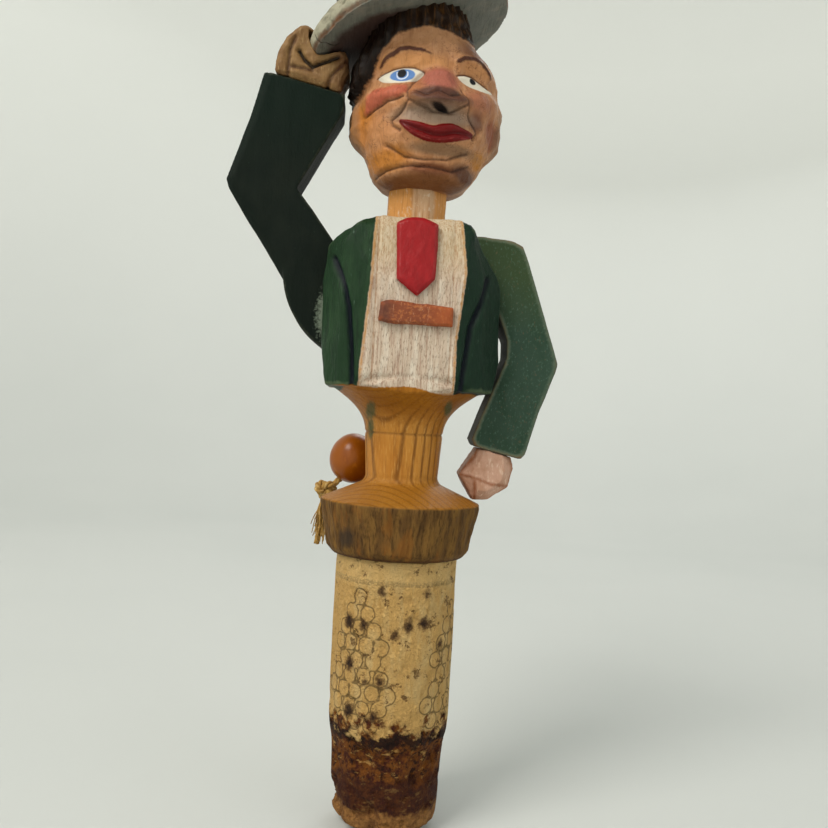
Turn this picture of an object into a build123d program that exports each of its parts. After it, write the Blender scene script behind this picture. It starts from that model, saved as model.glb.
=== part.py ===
"""Carved wooden bottle stopper: a gentleman who raises his hat when the cord behind him is pulled.

Millimetres.  +Z runs up the stopper's axis and the face looks along -Y.  The origin is the
centre of the collar's underside, the ring that sits on the bottle's mouth.
"""
from build123d import *
import math
import os

os.makedirs("parts", exist_ok=True)

# ---- driving dimensions -------------------------------------------------------------------
cork_radius = 10.6
cork_straight = 24.0
cork_length = 47.0
cork_tip_radius = 9.3
cork_tip_round = 1.6
cork_dowel_radius = 4.0
cork_dowel_low = -20.0
cork_dowel_high = 12.0

collar_foot_radius = 11.4
collar_low_radius = 12.4
collar_chamfer = 1.2
collar_rim_radius = 13.8
collar_height = 9.2
cone_top_radius = 6.8
cone_top = 12.3
waist_radius = 6.3
waist_top_radius = 6.8
waist_top = 20.8
hem_height = 28.8
hem_radius = 14.0

torso_top = 57.0
chest_y = -11.9
back_y = 11.4
neck_flats = 10.0
neck_low = 53.2
neck_high = 69.0

arm_front = -2.6
arm_back = 5.4
slot_gap = 0.35
pivot_x = -7.0
pivot_z = 48.0
arm_disc_radius = 15.4
arm_hub_radius = 4.4
arm_travel = 35.0
pin_radius = 0.9
pin_clearance = 0.05
pin_front_y = -8.0
sleeve_bevel = 1.3

hat_roll = 15.4
hat_pitch = 4.8
hat_x = -2.9
hat_z = 92.5
brim_radius = 18.0
brim_thickness = 3.2
crown_radius = 12.0
crown_height = 12.0
crown_round = 6.5
hat_gap = 0.35

cord_radius = 0.6
cord_bore_radius = 1.1
cord_exit = (1.5, 9.0)
cord_bore_low = 20.3
cord_bore_top = 39.0
cord_window_centre = (-3.8, 36.8)
cord_window_length = 14.0
cord_window_height = 4.8
bead_radius = 4.4
bead_half_length = 4.7
bead_bore_radius = 0.7
knot_radius = 2.2
peg_radius = 1.6
nail_radius = 0.5
nail_places = [(11.4, 46.0), (11.8, 52.0)]
peg_depth = 6.0
peg_length = 9.6
nail_back_y = 9.8
hat_nail_depth = 5.0
hat_nail_length = 5.8
stop_knot_place = (-8.6, 37.2)
stop_knot_radius = 1.5
stop_knot_depth = 1.8
stop_knot_pocket_radius = 1.9
stop_knot_pocket_depth = 3.0
cutter_reach = 60.0
head_centre_x = 0.4
ear_out = 13.2
tie_thickness = 1.2
bar_thickness = 1.3


def front_plane(y):
    """A plane that faces the front, with X across and Z up, at depth y."""
    return Plane((0, y, 0), x_dir=(1, 0, 0), z_dir=(0, -1, 0))


def around_pivot(angle, radius):
    """The point at an angle and distance from the arm's pivot, in the front view."""
    turn = math.radians(angle)
    return (pivot_x + radius * math.cos(turn), pivot_z + radius * math.sin(turn))


# The hat sits askew: rolled towards the raised hand, with its front tipped up a little.
roll = math.radians(hat_roll)
pitch = math.radians(hat_pitch)
hat_up = (-math.cos(pitch) * math.sin(roll), math.sin(pitch), math.cos(pitch) * math.cos(roll))
hat_plane = Plane((hat_x, 0, hat_z), x_dir=(math.cos(roll), 0, math.sin(roll)), z_dir=hat_up)
brim_under = hat_plane.offset(-brim_thickness / 2)
brim_upper = hat_plane.offset(brim_thickness / 2)
hat_nail_plane = Plane(hat_plane.from_local_coords((-15.0, 1.2, 0.0)), z_dir=hat_up)

# ---- cork -----------------------------------------------------------------------------------
with BuildPart() as cork:
    with BuildSketch(Plane.XZ):
        with BuildLine():
            Polyline(
                (0, 0),
                (cork_radius, 0),
                (cork_radius, -cork_straight),
                (cork_tip_radius, -cork_length + 10),
                (cork_tip_radius, -cork_length),
                (0, -cork_length),
                close=True,
            )
        make_face()
    revolve(axis=Axis.Z)
    fillet(cork.edges().group_by(Axis.Z)[0], cork_tip_round)
    Cylinder(
        cork_dowel_radius,
        -cork_dowel_low,
        align=(Align.CENTER, Align.CENTER, Align.MAX),
        mode=Mode.SUBTRACT,
    )
cork.part.label = "cork"
export_step(cork.part, "parts/cork.step")

with BuildPart() as cork_dowel:
    with BuildSketch(Plane.XY.offset(cork_dowel_low)):
        Circle(cork_dowel_radius)
    extrude(amount=cork_dowel_high - cork_dowel_low)
cork_dowel.part.label = "cork_dowel"
export_step(cork_dowel.part, "parts/cork_dowel.step")

# ---- carved body: collar, waist and coat from one block -----------------------------------------
# Upright outline of the coat in the front view, and its depth in plan and from the side.
coat_front = [
    (-13.9, hem_height - 0.4),
    (-15.1, 36.0),
    (-15.4, 46.0),
    (-14.7, 51.8),
    (-13.2, 54.2),
    (-10.8, 56.0),
    (-6.5, torso_top),
    (6.5, torso_top),
    (10.8, 56.2),
    (12.9, 54.4),
    (14.2, 51.5),
    (15.4, 46.0),
    (15.4, 34.0),
    (14.0, hem_height - 0.4),
]
coat_plan = [
    (-7.6, chest_y),
    (7.8, chest_y),
    (11.8, -10.0),
    (15.6, -5.2),
    (15.6, 6.0),
    (10.5, back_y),
    (-10.5, back_y),
    (-15.6, 6.0),
    (-15.6, -5.2),
    (-11.8, -10.0),
]
coat_side = [
    (chest_y + 1.4, hem_height - 0.4),
    (chest_y, hem_height + 2.0),
    (chest_y, 46.0),
    (chest_y + 1.6, 55.0),
    (chest_y + 3.4, torso_top),
    (back_y - 4.0, torso_top),
    (back_y, 51.0),
    (back_y, hem_height + 2.0),
    (back_y - 1.4, hem_height - 0.4),
]
with BuildPart() as carved_body:
    with BuildSketch(front_plane(cutter_reach / 2)):
        Polygon(*coat_front, align=None)
    extrude(amount=cutter_reach)
    with BuildSketch(Plane.XY):
        Polygon(*coat_plan, align=None)
    extrude(amount=torso_top + 10, mode=Mode.INTERSECT)
    with BuildSketch(Plane.YZ.offset(-cutter_reach / 2)):
        Polygon(*coat_side, align=None)
    extrude(amount=cutter_reach, mode=Mode.INTERSECT)
    with BuildSketch(Plane.XZ):
        with BuildLine():
            Polyline(
                (0, hem_height + 1.5),
                (0, 0),
                (collar_foot_radius, 0),
                (collar_low_radius, collar_chamfer),
                (collar_rim_radius, collar_height),
                (cone_top_radius, cone_top),
                (waist_radius, cone_top + 0.9),
                (waist_top_radius, waist_top),
            )
            Spline(
                (waist_top_radius, waist_top),
                (8.4, 24.9),
                (10.9, 27.1),
                (hem_radius - 0.6, hem_height),
            )
            Polyline(
                (hem_radius - 0.6, hem_height),
                (hem_radius - 2.6, hem_height + 1.5),
                (0, hem_height + 1.5),
            )
        make_face()
    revolve(axis=Axis.Z)
    # Trim the flare to the coat's facets.
    with BuildSketch(Plane.XY.offset(waist_top + 3)):
        Rectangle(cutter_reach, cutter_reach)
        Polygon(*coat_plan, align=None, mode=Mode.SUBTRACT)
    extrude(amount=hem_height - waist_top, mode=Mode.SUBTRACT)
    # Slot for the raised arm: open at the shoulder and down the side, round at the bottom.
    with BuildSketch(front_plane(arm_back + slot_gap)):
        with BuildLine():
            Line(around_pivot(180, 30), around_pivot(180, arm_disc_radius + 0.5))
            ThreePointArc(
                around_pivot(180, arm_disc_radius + 0.5),
                around_pivot(244, arm_disc_radius + 0.5),
                around_pivot(308, arm_disc_radius + 0.5),
            )
            Polyline(
                around_pivot(308, arm_disc_radius + 0.5),
                around_pivot(0, arm_hub_radius + 0.45),
                (pivot_x, pivot_z + 2),
                (-12.1, 51.7),
                (-21.0, 62.9),
                (-37.0, 62.9),
                around_pivot(180, 30),
            )
        make_face()
        with Locations((pivot_x, pivot_z)):
            Circle(arm_hub_radius + 0.45)
    extrude(amount=arm_back - arm_front + 2 * slot_gap, mode=Mode.SUBTRACT)
    # Rebate that the hip sleeve is glued into.
    with BuildSketch(front_plane(arm_back)):
        Polygon((9.0, 43.0), (14.9, 43.0), (16.2, 39.7), (30.0, 39.7), (30.0, 60.0), (9.0, 60.0), align=None)
    extrude(amount=arm_back - arm_front, mode=Mode.SUBTRACT)
    # Holes from the back for the pivot pin and for the two nails of the hip arm.
    with BuildSketch(front_plane(back_y + 1)):
        with Locations((pivot_x, pivot_z)):
            Circle(pin_radius)
    extrude(amount=back_y + 1 - pin_front_y, mode=Mode.SUBTRACT)
    with BuildSketch(front_plane(back_y + 1)):
        with Locations(*nail_places):
            Circle(nail_radius)
    extrude(amount=back_y + 1 - arm_back, mode=Mode.SUBTRACT)
    # Socket for the neck and bore for the cork's dowel.
    with BuildSketch(Plane.XY.offset(neck_low)):
        RegularPolygon(neck_flats / 2, 8, major_radius=False, rotation=22.5)
    extrude(amount=20, mode=Mode.SUBTRACT)
    with BuildSketch(Plane.XY):
        Circle(cork_dowel_radius)
    extrude(amount=cork_dowel_high, mode=Mode.SUBTRACT)
    # Cord's bore: up from under the coat, then across into the arm's slot.
    with BuildSketch(Plane.XY.offset(cord_bore_low)):
        with Locations(cord_exit):
            Circle(cord_bore_radius)
    extrude(amount=cord_bore_top - cord_bore_low, mode=Mode.SUBTRACT)
    with BuildSketch(front_plane(cord_exit[1] + cord_bore_radius)):
        with Locations(cord_window_centre):
            SlotOverall(cord_window_length, cord_window_height)
    extrude(amount=cord_exit[1] + cord_bore_radius - arm_back - slot_gap, mode=Mode.SUBTRACT)
carved_body.part.label = "carved_body"
export_step(carved_body.part, "parts/carved_body.step")

# ---- shirt front: necktie and chest bar, glued on --------------------------------------------------
with BuildPart() as necktie:
    with BuildSketch(front_plane(chest_y)):
        Polygon((-3.6, 54.6), (3.3, 54.6), (3.1, 46.3), (0.3, 43.4), (-3.2, 46.0), align=None)
    extrude(amount=tie_thickness)
    chamfer(necktie.faces().sort_by(Axis.Y)[0].edges(), 0.5)
    with BuildSketch(Plane.YZ.offset(-6)):
        Polygon((chest_y, 46.0), (chest_y + 1.6, 55.0), (chest_y, 56.0), align=None)
    extrude(amount=12, mode=Mode.SUBTRACT)
necktie.part.label = "necktie"
export_step(necktie.part, "parts/necktie.step")

with BuildPart() as chest_bar:
    with BuildSketch(front_plane(chest_y)):
        Polygon((-5.8, 39.2), (-4.2, 38.8), (6.3, 38.8), (6.3, 41.9), (-4.0, 42.6), (-5.6, 42.2), align=None)
    extrude(amount=bar_thickness)
    chamfer(chest_bar.faces().sort_by(Axis.Y)[0].edges(), 0.45)
chest_bar.part.label = "chest_bar"
export_step(chest_bar.part, "parts/chest_bar.step")

# ---- neck and head ----------------------------------------------------------------------------------
with BuildPart() as neck_peg:
    with BuildSketch(Plane.XY.offset(neck_low)):
        RegularPolygon(neck_flats / 2, 8, major_radius=False, rotation=22.5)
    extrude(amount=neck_high - neck_low)
neck_peg.part.label = "neck_peg"
export_step(neck_peg.part, "parts/neck_peg.step")

# Head sections from chin to crown: height, half width, half depth, middle depth.
head_sections = [
    (62.8, 6.4, 6.6, -0.6),
    (66.5, 9.8, 9.6, -0.6),
    (71.0, 12.0, 11.6, -0.3),
    (77.0, 12.6, 12.2, 0.0),
    (83.0, 11.9, 12.0, 0.2),
    (89.0, 10.6, 10.8, 0.4),
    (97.0, 8.5, 8.8, 0.6),
]
with BuildPart() as head:
    for height, half_width, half_depth, middle in head_sections:
        with BuildSketch(Plane.XY.offset(height)):
            with Locations((head_centre_x, middle)):
                Ellipse(half_width, half_depth)
    loft()
    with BuildSketch(Plane.XY.offset(72.0)):
        with Locations((2.2, -11.5)):
            Ellipse(2.9, 3.0)
    extrude(amount=7.0, taper=14)
    for side in (-1, 1):
        with BuildSketch(Plane.YZ.offset(head_centre_x + side * ear_out)):
            with Locations((2.0, 74.5)):
                Ellipse(2.2, 3.9)
        extrude(amount=-side * 4.0)
    split(bisect_by=brim_under.offset(-hat_gap), keep=Keep.BOTTOM)
    with BuildSketch(Plane.XY.offset(60)):
        RegularPolygon(neck_flats / 2, 8, major_radius=False, rotation=22.5)
    extrude(amount=neck_high - 60, mode=Mode.SUBTRACT)
head.part.label = "head"
export_step(head.part, "parts/head.step")

# ---- hat ----------------------------------------------------------------------------------------------
with BuildPart() as hat:
    with BuildSketch(brim_under):
        Circle(brim_radius)
    extrude(amount=brim_thickness)
    fillet(hat.edges(), 1.2)
    with BuildSketch(brim_upper.offset(-0.5)):
        Circle(crown_radius)
    extrude(amount=crown_height + 0.5, taper=4)
    fillet(hat.faces().sort_by(Axis((0, 0, 0), hat_up))[-1].edges(), crown_round)
    with BuildSketch(hat_nail_plane.offset(-hat_nail_depth)):
        Circle(nail_radius)
    extrude(amount=hat_nail_length, mode=Mode.SUBTRACT)
hat.part.label = "hat"
export_step(hat.part, "parts/hat.step")

# ---- raised arm: sleeve, hand and the pegs that hold them ---------------------------------------------
hand_peg_plane = Plane((-19.6, 1.4, 80.3), x_dir=(0, 1, 0), z_dir=(0.14, 0, 0.99))
arc_end_angle = 262
with BuildPart() as raised_sleeve:
    with BuildSketch(front_plane(arm_back)):
        with BuildLine():
            Polyline(
                around_pivot(187, arm_disc_radius),
                (-26.9, 53.0),
                (-32.6, 61.4),
                (-33.1, 63.0),
                (-29.6, 73.8),
                (-27.6, 81.8),
                (-13.3, 78.6),
                (-13.4, 75.6),
                (-20.7, 62.0),
                (-12.2, 51.1),
                (pivot_x, pivot_z),
                around_pivot(arc_end_angle, arm_disc_radius),
            )
            ThreePointArc(
                around_pivot(arc_end_angle, arm_disc_radius),
                around_pivot(225, arm_disc_radius),
                around_pivot(187, arm_disc_radius),
            )
        make_face()
        with Locations((pivot_x, pivot_z)):
            Circle(arm_hub_radius)
    extrude(amount=arm_back - arm_front)
    with BuildSketch(front_plane(arm_back + 1)):
        with Locations((pivot_x, pivot_z)):
            Circle(pin_radius + pin_clearance)
    extrude(amount=arm_back - arm_front + 2, mode=Mode.SUBTRACT)
    front_edges = raised_sleeve.faces().sort_by(Axis.Y)[0].outer_wire().edges()
    chamfer(front_edges.sort_by(Axis.X)[0:5], sleeve_bevel)
    with BuildSketch(hand_peg_plane.offset(-peg_depth)):
        Circle(peg_radius)
    extrude(amount=2 * peg_depth, mode=Mode.SUBTRACT)
    # Hole for the cord's stopper knot, near the tail's edge, and its counterbore in front.
    with BuildSketch(front_plane(arm_back + 1)):
        with Locations(stop_knot_place):
            Circle(cord_bore_radius)
    extrude(amount=arm_back - arm_front + 2, mode=Mode.SUBTRACT)
    with BuildSketch(front_plane(arm_front + stop_knot_pocket_depth)):
        with Locations(stop_knot_place):
            Circle(stop_knot_pocket_radius)
    extrude(amount=stop_knot_pocket_depth + 1, mode=Mode.SUBTRACT)
raised_sleeve.part.label = "raised_sleeve"
export_step(raised_sleeve.part, "parts/raised_sleeve.step")

with BuildPart() as raised_hand:
    with BuildSketch(front_plane(5.6)):
        Polygon(
            (-25.7, 81.42),
            (-25.2, 85.0),
            (-24.0, 87.6),
            (-21.8, 89.6),
            (-19.0, 90.4),
            (-15.0, 90.0),
            (-13.1, 86.6),
            (-12.9, 83.4),
            (-14.2, 78.85),
            align=None,
        )
    extrude(amount=8.8)
    fillet(raised_hand.edges().filter_by(Axis.Y), 0.8)
    chamfer(raised_hand.faces().sort_by(Axis.Y)[0].edges(), 0.7)
    chamfer(raised_hand.faces().sort_by(Axis.Y)[-1].edges(), 0.7)
    add(hat.part, mode=Mode.SUBTRACT)
    with BuildSketch(hat_nail_plane.offset(-hat_nail_depth)):
        Circle(nail_radius)
    extrude(amount=hat_nail_length, mode=Mode.SUBTRACT)
    with BuildSketch(hand_peg_plane.offset(-1)):
        Circle(peg_radius)
    extrude(amount=5, mode=Mode.SUBTRACT)
raised_hand.part.label = "raised_hand"
export_step(raised_hand.part, "parts/raised_hand.step")

with BuildPart() as raised_hand_peg:
    with BuildSketch(hand_peg_plane.offset(-peg_depth)):
        Circle(peg_radius)
    extrude(amount=peg_length)
raised_hand_peg.part.label = "raised_hand_peg"
export_step(raised_hand_peg.part, "parts/raised_hand_peg.step")

with BuildPart() as arm_pin:
    with BuildSketch(front_plane(back_y - 0.4)):
        with Locations((pivot_x, pivot_z)):
            Circle(pin_radius)
    extrude(amount=back_y - 0.4 - pin_front_y)
arm_pin.part.label = "arm_pin"
export_step(arm_pin.part, "parts/arm_pin.step")

# ---- hip arm: sleeve glued in its rebate, with two nails, and its hand --------------------------------
hip_peg_plane = Plane((16.5, 1.4, 18.6), x_dir=(0, 1, 0), z_dir=(-0.22, 0, -0.976))
with BuildPart() as hip_sleeve:
    with BuildSketch(front_plane(arm_back)):
        Polygon(
            (9.0, 43.0),
            (9.0, 55.6),
            (11.2, 55.9),
            (17.0, 55.4),
            (19.0, 54.6),
            (20.2, 51.9),
            (26.2, 34.5),
            (26.0, 33.2),
            (23.4, 26.0),
            (21.4, 18.4),
            (20.6, 17.4),
            (12.2, 19.3),
            (11.6, 20.6),
            (17.0, 35.2),
            (16.9, 38.0),
            (14.9, 43.0),
            align=None,
        )
    extrude(amount=arm_back - arm_front)
    hip_front_edges = hip_sleeve.faces().sort_by(Axis.Y)[0].edges()
    chamfer(hip_front_edges.sort_by(Axis.X)[-5:], 0.5)
    with BuildSketch(hip_peg_plane.offset(-peg_depth)):
        Circle(peg_radius)
    extrude(amount=2 * peg_depth, mode=Mode.SUBTRACT)
    with BuildSketch(front_plane(arm_back + 1)):
        with Locations(*nail_places):
            Circle(nail_radius)
    extrude(amount=arm_back - arm_front, mode=Mode.SUBTRACT)
hip_sleeve.part.label = "hip_sleeve"
export_step(hip_sleeve.part, "parts/hip_sleeve.step")

with BuildPart() as hip_hand:
    with BuildSketch(front_plane(5.2)):
        Polygon(
            (12.9, 19.12),
            (10.0, 14.3),
            (12.6, 10.0),
            (15.3, 10.2),
            (18.7, 12.6),
            (19.4, 15.8),
            (19.0, 17.75),
            align=None,
        )
    extrude(amount=7.6)
    chamfer(hip_hand.faces().sort_by(Axis.Y)[0].edges().sort_by(Axis.Z)[:-1], 1.6)
    chamfer(hip_hand.faces().sort_by(Axis.Y)[-1].edges().sort_by(Axis.Z)[:-1], 1.2)
    with BuildSketch(hip_peg_plane.offset(-1)):
        Circle(peg_radius)
    extrude(amount=4.6, mode=Mode.SUBTRACT)
hip_hand.part.label = "hip_hand"
export_step(hip_hand.part, "parts/hip_hand.step")

with BuildPart() as hip_hand_peg:
    with BuildSketch(hip_peg_plane.offset(-peg_depth)):
        Circle(peg_radius)
    extrude(amount=peg_length)
hip_hand_peg.part.label = "hip_hand_peg"
export_step(hip_hand_peg.part, "parts/hip_hand_peg.step")

with BuildPart() as hip_nails:
    with BuildSketch(front_plane(nail_back_y)):
        with Locations(*nail_places):
            Circle(nail_radius)
    extrude(amount=nail_back_y - arm_front - 1)
hip_nails.part.label = "hip_nails"
export_step(hip_nails.part, "parts/hip_nails.step")

with BuildPart() as hat_nail:
    with BuildSketch(hat_nail_plane.offset(-hat_nail_depth)):
        Circle(nail_radius)
    extrude(amount=hat_nail_length)
hat_nail.part.label = "hat_nail"
export_step(hat_nail.part, "parts/hat_nail.step")

# ---- pull cord -------------------------------------------------------------------------------------------
# Stopper knot that fills the hole in the arm's tail.
with BuildPart() as arm_cord_knot:
    with BuildSketch(front_plane(arm_back)):
        with Locations(stop_knot_place):
            Circle(cord_bore_radius)
    extrude(amount=arm_back - arm_front - stop_knot_pocket_depth)
    with Locations((stop_knot_place[0], arm_front + stop_knot_depth, stop_knot_place[1])):
        Sphere(stop_knot_radius)
arm_cord_knot.part.label = "arm_cord_knot"
export_step(arm_cord_knot.part, "parts/arm_cord_knot.step")


def tangent_arc_radii(points):
    """The largest tangent-arc radius that the two runs at each inner point of a route allow."""
    radii = []
    for before, here, after in zip(points, points[1:], points[2:]):
        arriving = Vector(*here) - Vector(*before)
        leaving = Vector(*after) - Vector(*here)
        half_turn = math.radians(arriving.get_angle(leaving)) / 2
        radii.append(0.45 * min(arriving.length, leaving.length) / math.tan(half_turn))
    return radii


# Hidden stretch: from the arm's tail across the window and down the bore.
inner_route = [
    (cord_exit[0], cord_exit[1], 25.2),
    (cord_exit[0], cord_exit[1], 34.0),
    (cord_exit[0] - 2.6, cord_exit[1] - 1.0, 37.2),
    (stop_knot_place[0], arm_back + 1.2, stop_knot_place[1]),
]
with BuildPart() as inner_cord:
    with BuildLine():
        FilletPolyline(*inner_route, radius=tangent_arc_radii(inner_route))
    with BuildSketch(Plane(inner_route[0], z_dir=(0, 0, 1))):
        Circle(cord_radius)
    sweep()
inner_cord.part.label = "inner_cord"
export_step(inner_cord.part, "parts/inner_cord.step")

# Free stretch: out of the bore, through the bead, through the knot and on to the frayed end.
cord_route = [
    (1.5, 9.0, 25.0),
    (0.7, 9.6, 21.8),
    (-2.4, 10.2, 20.0),
    (-6.0, 10.0, 19.2),
    (-8.3, 9.8, 16.4),
    (-9.8, 9.8, 12.6),
    (-12.4, 10.1, 10.2),
    (-14.0, 10.3, 7.2),
    (-14.0, 10.4, 3.4),
    (-14.5, 10.4, -0.6),
]
cord_radii = tangent_arc_radii(cord_route)
print("cord arc radii", [round(radius, 2) for radius in cord_radii])
first_run = Vector(*cord_route[1]) - Vector(*cord_route[0])
with BuildPart() as pull_cord:
    with BuildLine() as cord_line:
        FilletPolyline(*cord_route, radius=cord_radii)
    with BuildSketch(Plane(cord_route[0], z_dir=first_run)):
        Circle(cord_radius)
    sweep()
cord_length = cord_line.wires()[0].length
print("cord length", round(cord_length, 2))
print("cord volume / section x length", pull_cord.part.volume / (math.pi * cord_radius**2 * cord_length))
pull_cord.part.label = "pull_cord"
export_step(pull_cord.part, "parts/pull_cord.step")

bead_axis = Vector(-0.37, -0.01, -0.93)
bead_plane = Plane((-8.6, 9.8, 15.6), x_dir=(0, 1, 0), z_dir=bead_axis)
bead_section = Plane(bead_plane.origin, x_dir=bead_plane.x_dir, z_dir=bead_plane.y_dir)
with BuildPart() as cord_bead:
    with BuildSketch(bead_section):
        Ellipse(bead_radius, bead_half_length)
        with Locations((-bead_radius, 0)):
            Rectangle(2 * bead_radius, 3 * bead_half_length, mode=Mode.SUBTRACT)
    revolve(axis=Axis(bead_plane.origin, bead_axis))
cord_bead.part.label = "cord_bead"
export_step(cord_bead.part, "parts/cord_bead.step")

with BuildPart() as cord_knot:
    with Locations((-13.4, 10.2, 9.4)):
        Sphere(knot_radius)
cord_knot.part.label = "cord_knot"
export_step(cord_knot.part, "parts/cord_knot.step")

# Frayed end: a brush of fibres that opens downwards round the cord's last stretch.
tail_line = Vector(*cord_route[-1]) - Vector(*cord_route[-2])
with BuildPart() as frayed_tail:
    with BuildSketch(Plane((-14.0, 10.4, 7.0), z_dir=(0, 0, -1))):
        Circle(cord_radius + 0.3)
    with BuildSketch(Plane((-14.1, 10.4, 3.2), z_dir=(0, 0, -1))):
        Circle(cord_radius + 0.7)
    with BuildSketch(Plane(cord_route[-1], z_dir=tail_line).offset(0.4)):
        Circle(cord_radius + 1.1)
    loft()
frayed_tail.part.label = "frayed_tail"
export_step(frayed_tail.part, "parts/frayed_tail.step")
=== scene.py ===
"""Carved wooden bottle stopper: the pieces' shapes and finishes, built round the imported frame.

Run as a script.  Shapes are worked out in millimetres and become metres when a mesh is made.
"""

import bmesh
import bpy
import numpy as np
from bpy.props import FloatProperty, FloatVectorProperty, IntProperty, PointerProperty
from mathutils import Matrix, Vector


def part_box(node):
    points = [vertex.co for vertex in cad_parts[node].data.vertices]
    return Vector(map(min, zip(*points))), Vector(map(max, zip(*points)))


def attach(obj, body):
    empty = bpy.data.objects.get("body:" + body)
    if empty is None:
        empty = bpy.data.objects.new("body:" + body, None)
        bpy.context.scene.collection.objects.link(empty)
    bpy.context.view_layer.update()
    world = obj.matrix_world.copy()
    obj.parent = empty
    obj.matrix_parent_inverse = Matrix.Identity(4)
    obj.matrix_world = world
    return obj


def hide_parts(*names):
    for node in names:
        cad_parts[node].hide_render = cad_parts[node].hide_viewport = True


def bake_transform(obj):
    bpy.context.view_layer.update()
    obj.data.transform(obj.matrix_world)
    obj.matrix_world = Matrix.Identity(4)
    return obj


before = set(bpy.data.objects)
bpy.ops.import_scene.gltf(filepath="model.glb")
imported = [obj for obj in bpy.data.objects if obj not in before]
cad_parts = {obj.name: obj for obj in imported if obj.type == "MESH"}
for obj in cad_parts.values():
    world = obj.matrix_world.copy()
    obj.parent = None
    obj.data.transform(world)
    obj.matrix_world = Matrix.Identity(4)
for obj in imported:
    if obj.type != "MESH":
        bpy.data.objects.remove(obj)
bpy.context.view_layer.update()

bl_info = {
    "name": "Carved bottle stopper",
    "version": (1, 0, 0),
    "blender": (4, 5, 0),
    "location": "3D View > Sidebar > Stopper",
    "description": "Builds a carved and painted hat-raising bottle stopper and a plain studio",
    "category": "Add Mesh",
}

MM = 0.001
STRAND_SIDES, FIBRE_SIDES = 10, 5
# Added to a stored distance in mm where its mark must not show.
FAR = 9.0
FIGURE, ARM, PULL = "figure", "hat_arm", "pull"


def linear(hex_text):
    """An sRGB hex colour as linear red, green and blue."""
    values = np.array([int(hex_text[i : i + 2], 16) / 255 for i in (1, 3, 5)])
    return tuple(np.where(values <= 0.04045, values / 12.92, ((values + 0.055) / 1.055) ** 2.4))


# ---- sizes and colours that a user would change ----
def size_mm(name, description, default, low, high):
    """A size in millimetres for the panel."""
    return FloatProperty(name=name, description=description, default=default, min=low, max=high)


def colour(name, description, default):
    """A colour for the panel, given as sRGB hex."""
    shade = linear(default)
    return FloatVectorProperty(
        name=name, description=description, default=shade, size=3, min=0, max=1, subtype="COLOR"
    )


class StopperSizes(bpy.types.PropertyGroup):
    """Sizes of the carving, in millimetres."""

    carving_step: size_mm("Carving step", "Side of a voxel in the carved pieces", 0.3, 0.15, 1.0)
    knife_ripple: size_mm("Knife ripple", "Height of the knife's ripples on the wood", 0.14, 0.0, 0.5)
    lapel_depth: size_mm("Lapel depth", "Depth of the cuts that draw the lapels", 0.75, 0.0, 2.0)
    brim_radius: size_mm("Brim radius", "Radius of the hat's brim", 17.8, 10.0, 25.0)
    crown_radius: size_mm("Crown radius", "Radius of the hat's crown at the brim", 11.9, 6.0, 16.0)
    crown_height: size_mm("Crown height", "Top of the crown above the brim's middle", 13.4, 5.0, 25.0)
    nose_height: size_mm("Nose height", "How far the nose stands out", 3.2, 0.0, 5.0)
    strand_radius: size_mm("Strand radius", "Radius of one strand of the cord", 0.31, 0.1, 1.0)
    fibre_count: IntProperty(
        name="Fibres", description="Fibres in the frayed end", default=90, min=5, max=300
    )


class StopperColours(bpy.types.PropertyGroup):
    """Main colours of the paints and woods."""

    coat: colour("Coat", "Green of the coat", "#19321c")
    coat_light: colour("Coat, thin", "Green where the brush left it thin", "#294328")
    raised_sleeve: colour("Raised sleeve", "Near-black green of the raised sleeve", "#0e1711")
    hip_sleeve: colour("Hip sleeve", "Faded green of the sleeve at the hip", "#33473a")
    shirt: colour("Shirt", "Cream of the shirt", "#c8b5a0")
    red: colour("Red", "Red of the necktie and the lips", "#981c20")
    bar: colour("Chest bar", "Russet of the bar on the chest", "#82452c")
    pine: colour("Varnished wood", "Honey of the varnished waist", "#bd8236")
    bark: colour("Collar's side", "Brown of the collar's side", "#5e4220")
    cork: colour("Cork", "Tan of the clean cork", "#cba261")
    stain: colour("Wine stain", "Brown of the stained cork", "#41190b")
    skin: colour("Skin", "Stained flesh tone", "#b9845a")
    hair: colour("Hair", "Dark brown of the hair", "#211004")
    hip_hand: colour("Hip hand", "Pinkish cream of the hand at the hip", "#c49b84")
    hat: colour("Hat", "Grey-olive paint of the hat", "#74746a")
    bead: colour("Bead", "Orange-brown lacquer of the bead", "#8c4b05")
    cord: colour("Cord", "Straw of the cord", "#b08a4a")
    floor: colour("Floor", "Pale floor, before it rises to the paler wall", "#cdd0cc")


def sizes():
    """The sizes set in the scene."""
    return bpy.context.scene.stopper_sizes


def colours():
    """The colours set in the scene."""
    return bpy.context.scene.stopper_colours


# ---- numbers and shapes ----
def ripple(points, cell, seed, octaves=3):
    """Smooth random height near -1 to 1: a sum of sine waves in random directions, finer each octave."""
    random = np.random.default_rng(seed)
    total = np.zeros(len(points))
    for octave in range(octaves):
        waves = random.normal(size=(7, 3)) * 2**octave * 2.2 / np.asarray(cell)
        phases = random.uniform(0, 2 * np.pi, 7)
        total += np.sin(points @ waves.T + phases).mean(1) * 1.6 / 1.7**octave
    return total


def smooth_step(value, low, high):
    """0 below low, 1 above high and an S-curve between."""
    t = np.clip((value - low) / (high - low), 0, 1)
    return t * t * (3 - 2 * t)


def hill(x, z, place, size):
    """A hill of height 1 in the front view: e to the minus squared distance, measured in sizes."""
    return np.exp(-(((x - place[0]) / size[0]) ** 2) - ((z - place[1]) / size[1]) ** 2)


def oval(x, z, middle, size):
    """How far outside an oval each point is: 0 on its edge, -1 in its middle, measured in half sizes."""
    return np.hypot((x - middle[0]) / size[0], (z - middle[1]) / size[1]) - 1


def bulge(distance, width):
    """1 where the distance is 0, falling away as e to the minus squared distance, measured in widths."""
    return np.exp(-((distance / width) ** 2))


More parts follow.
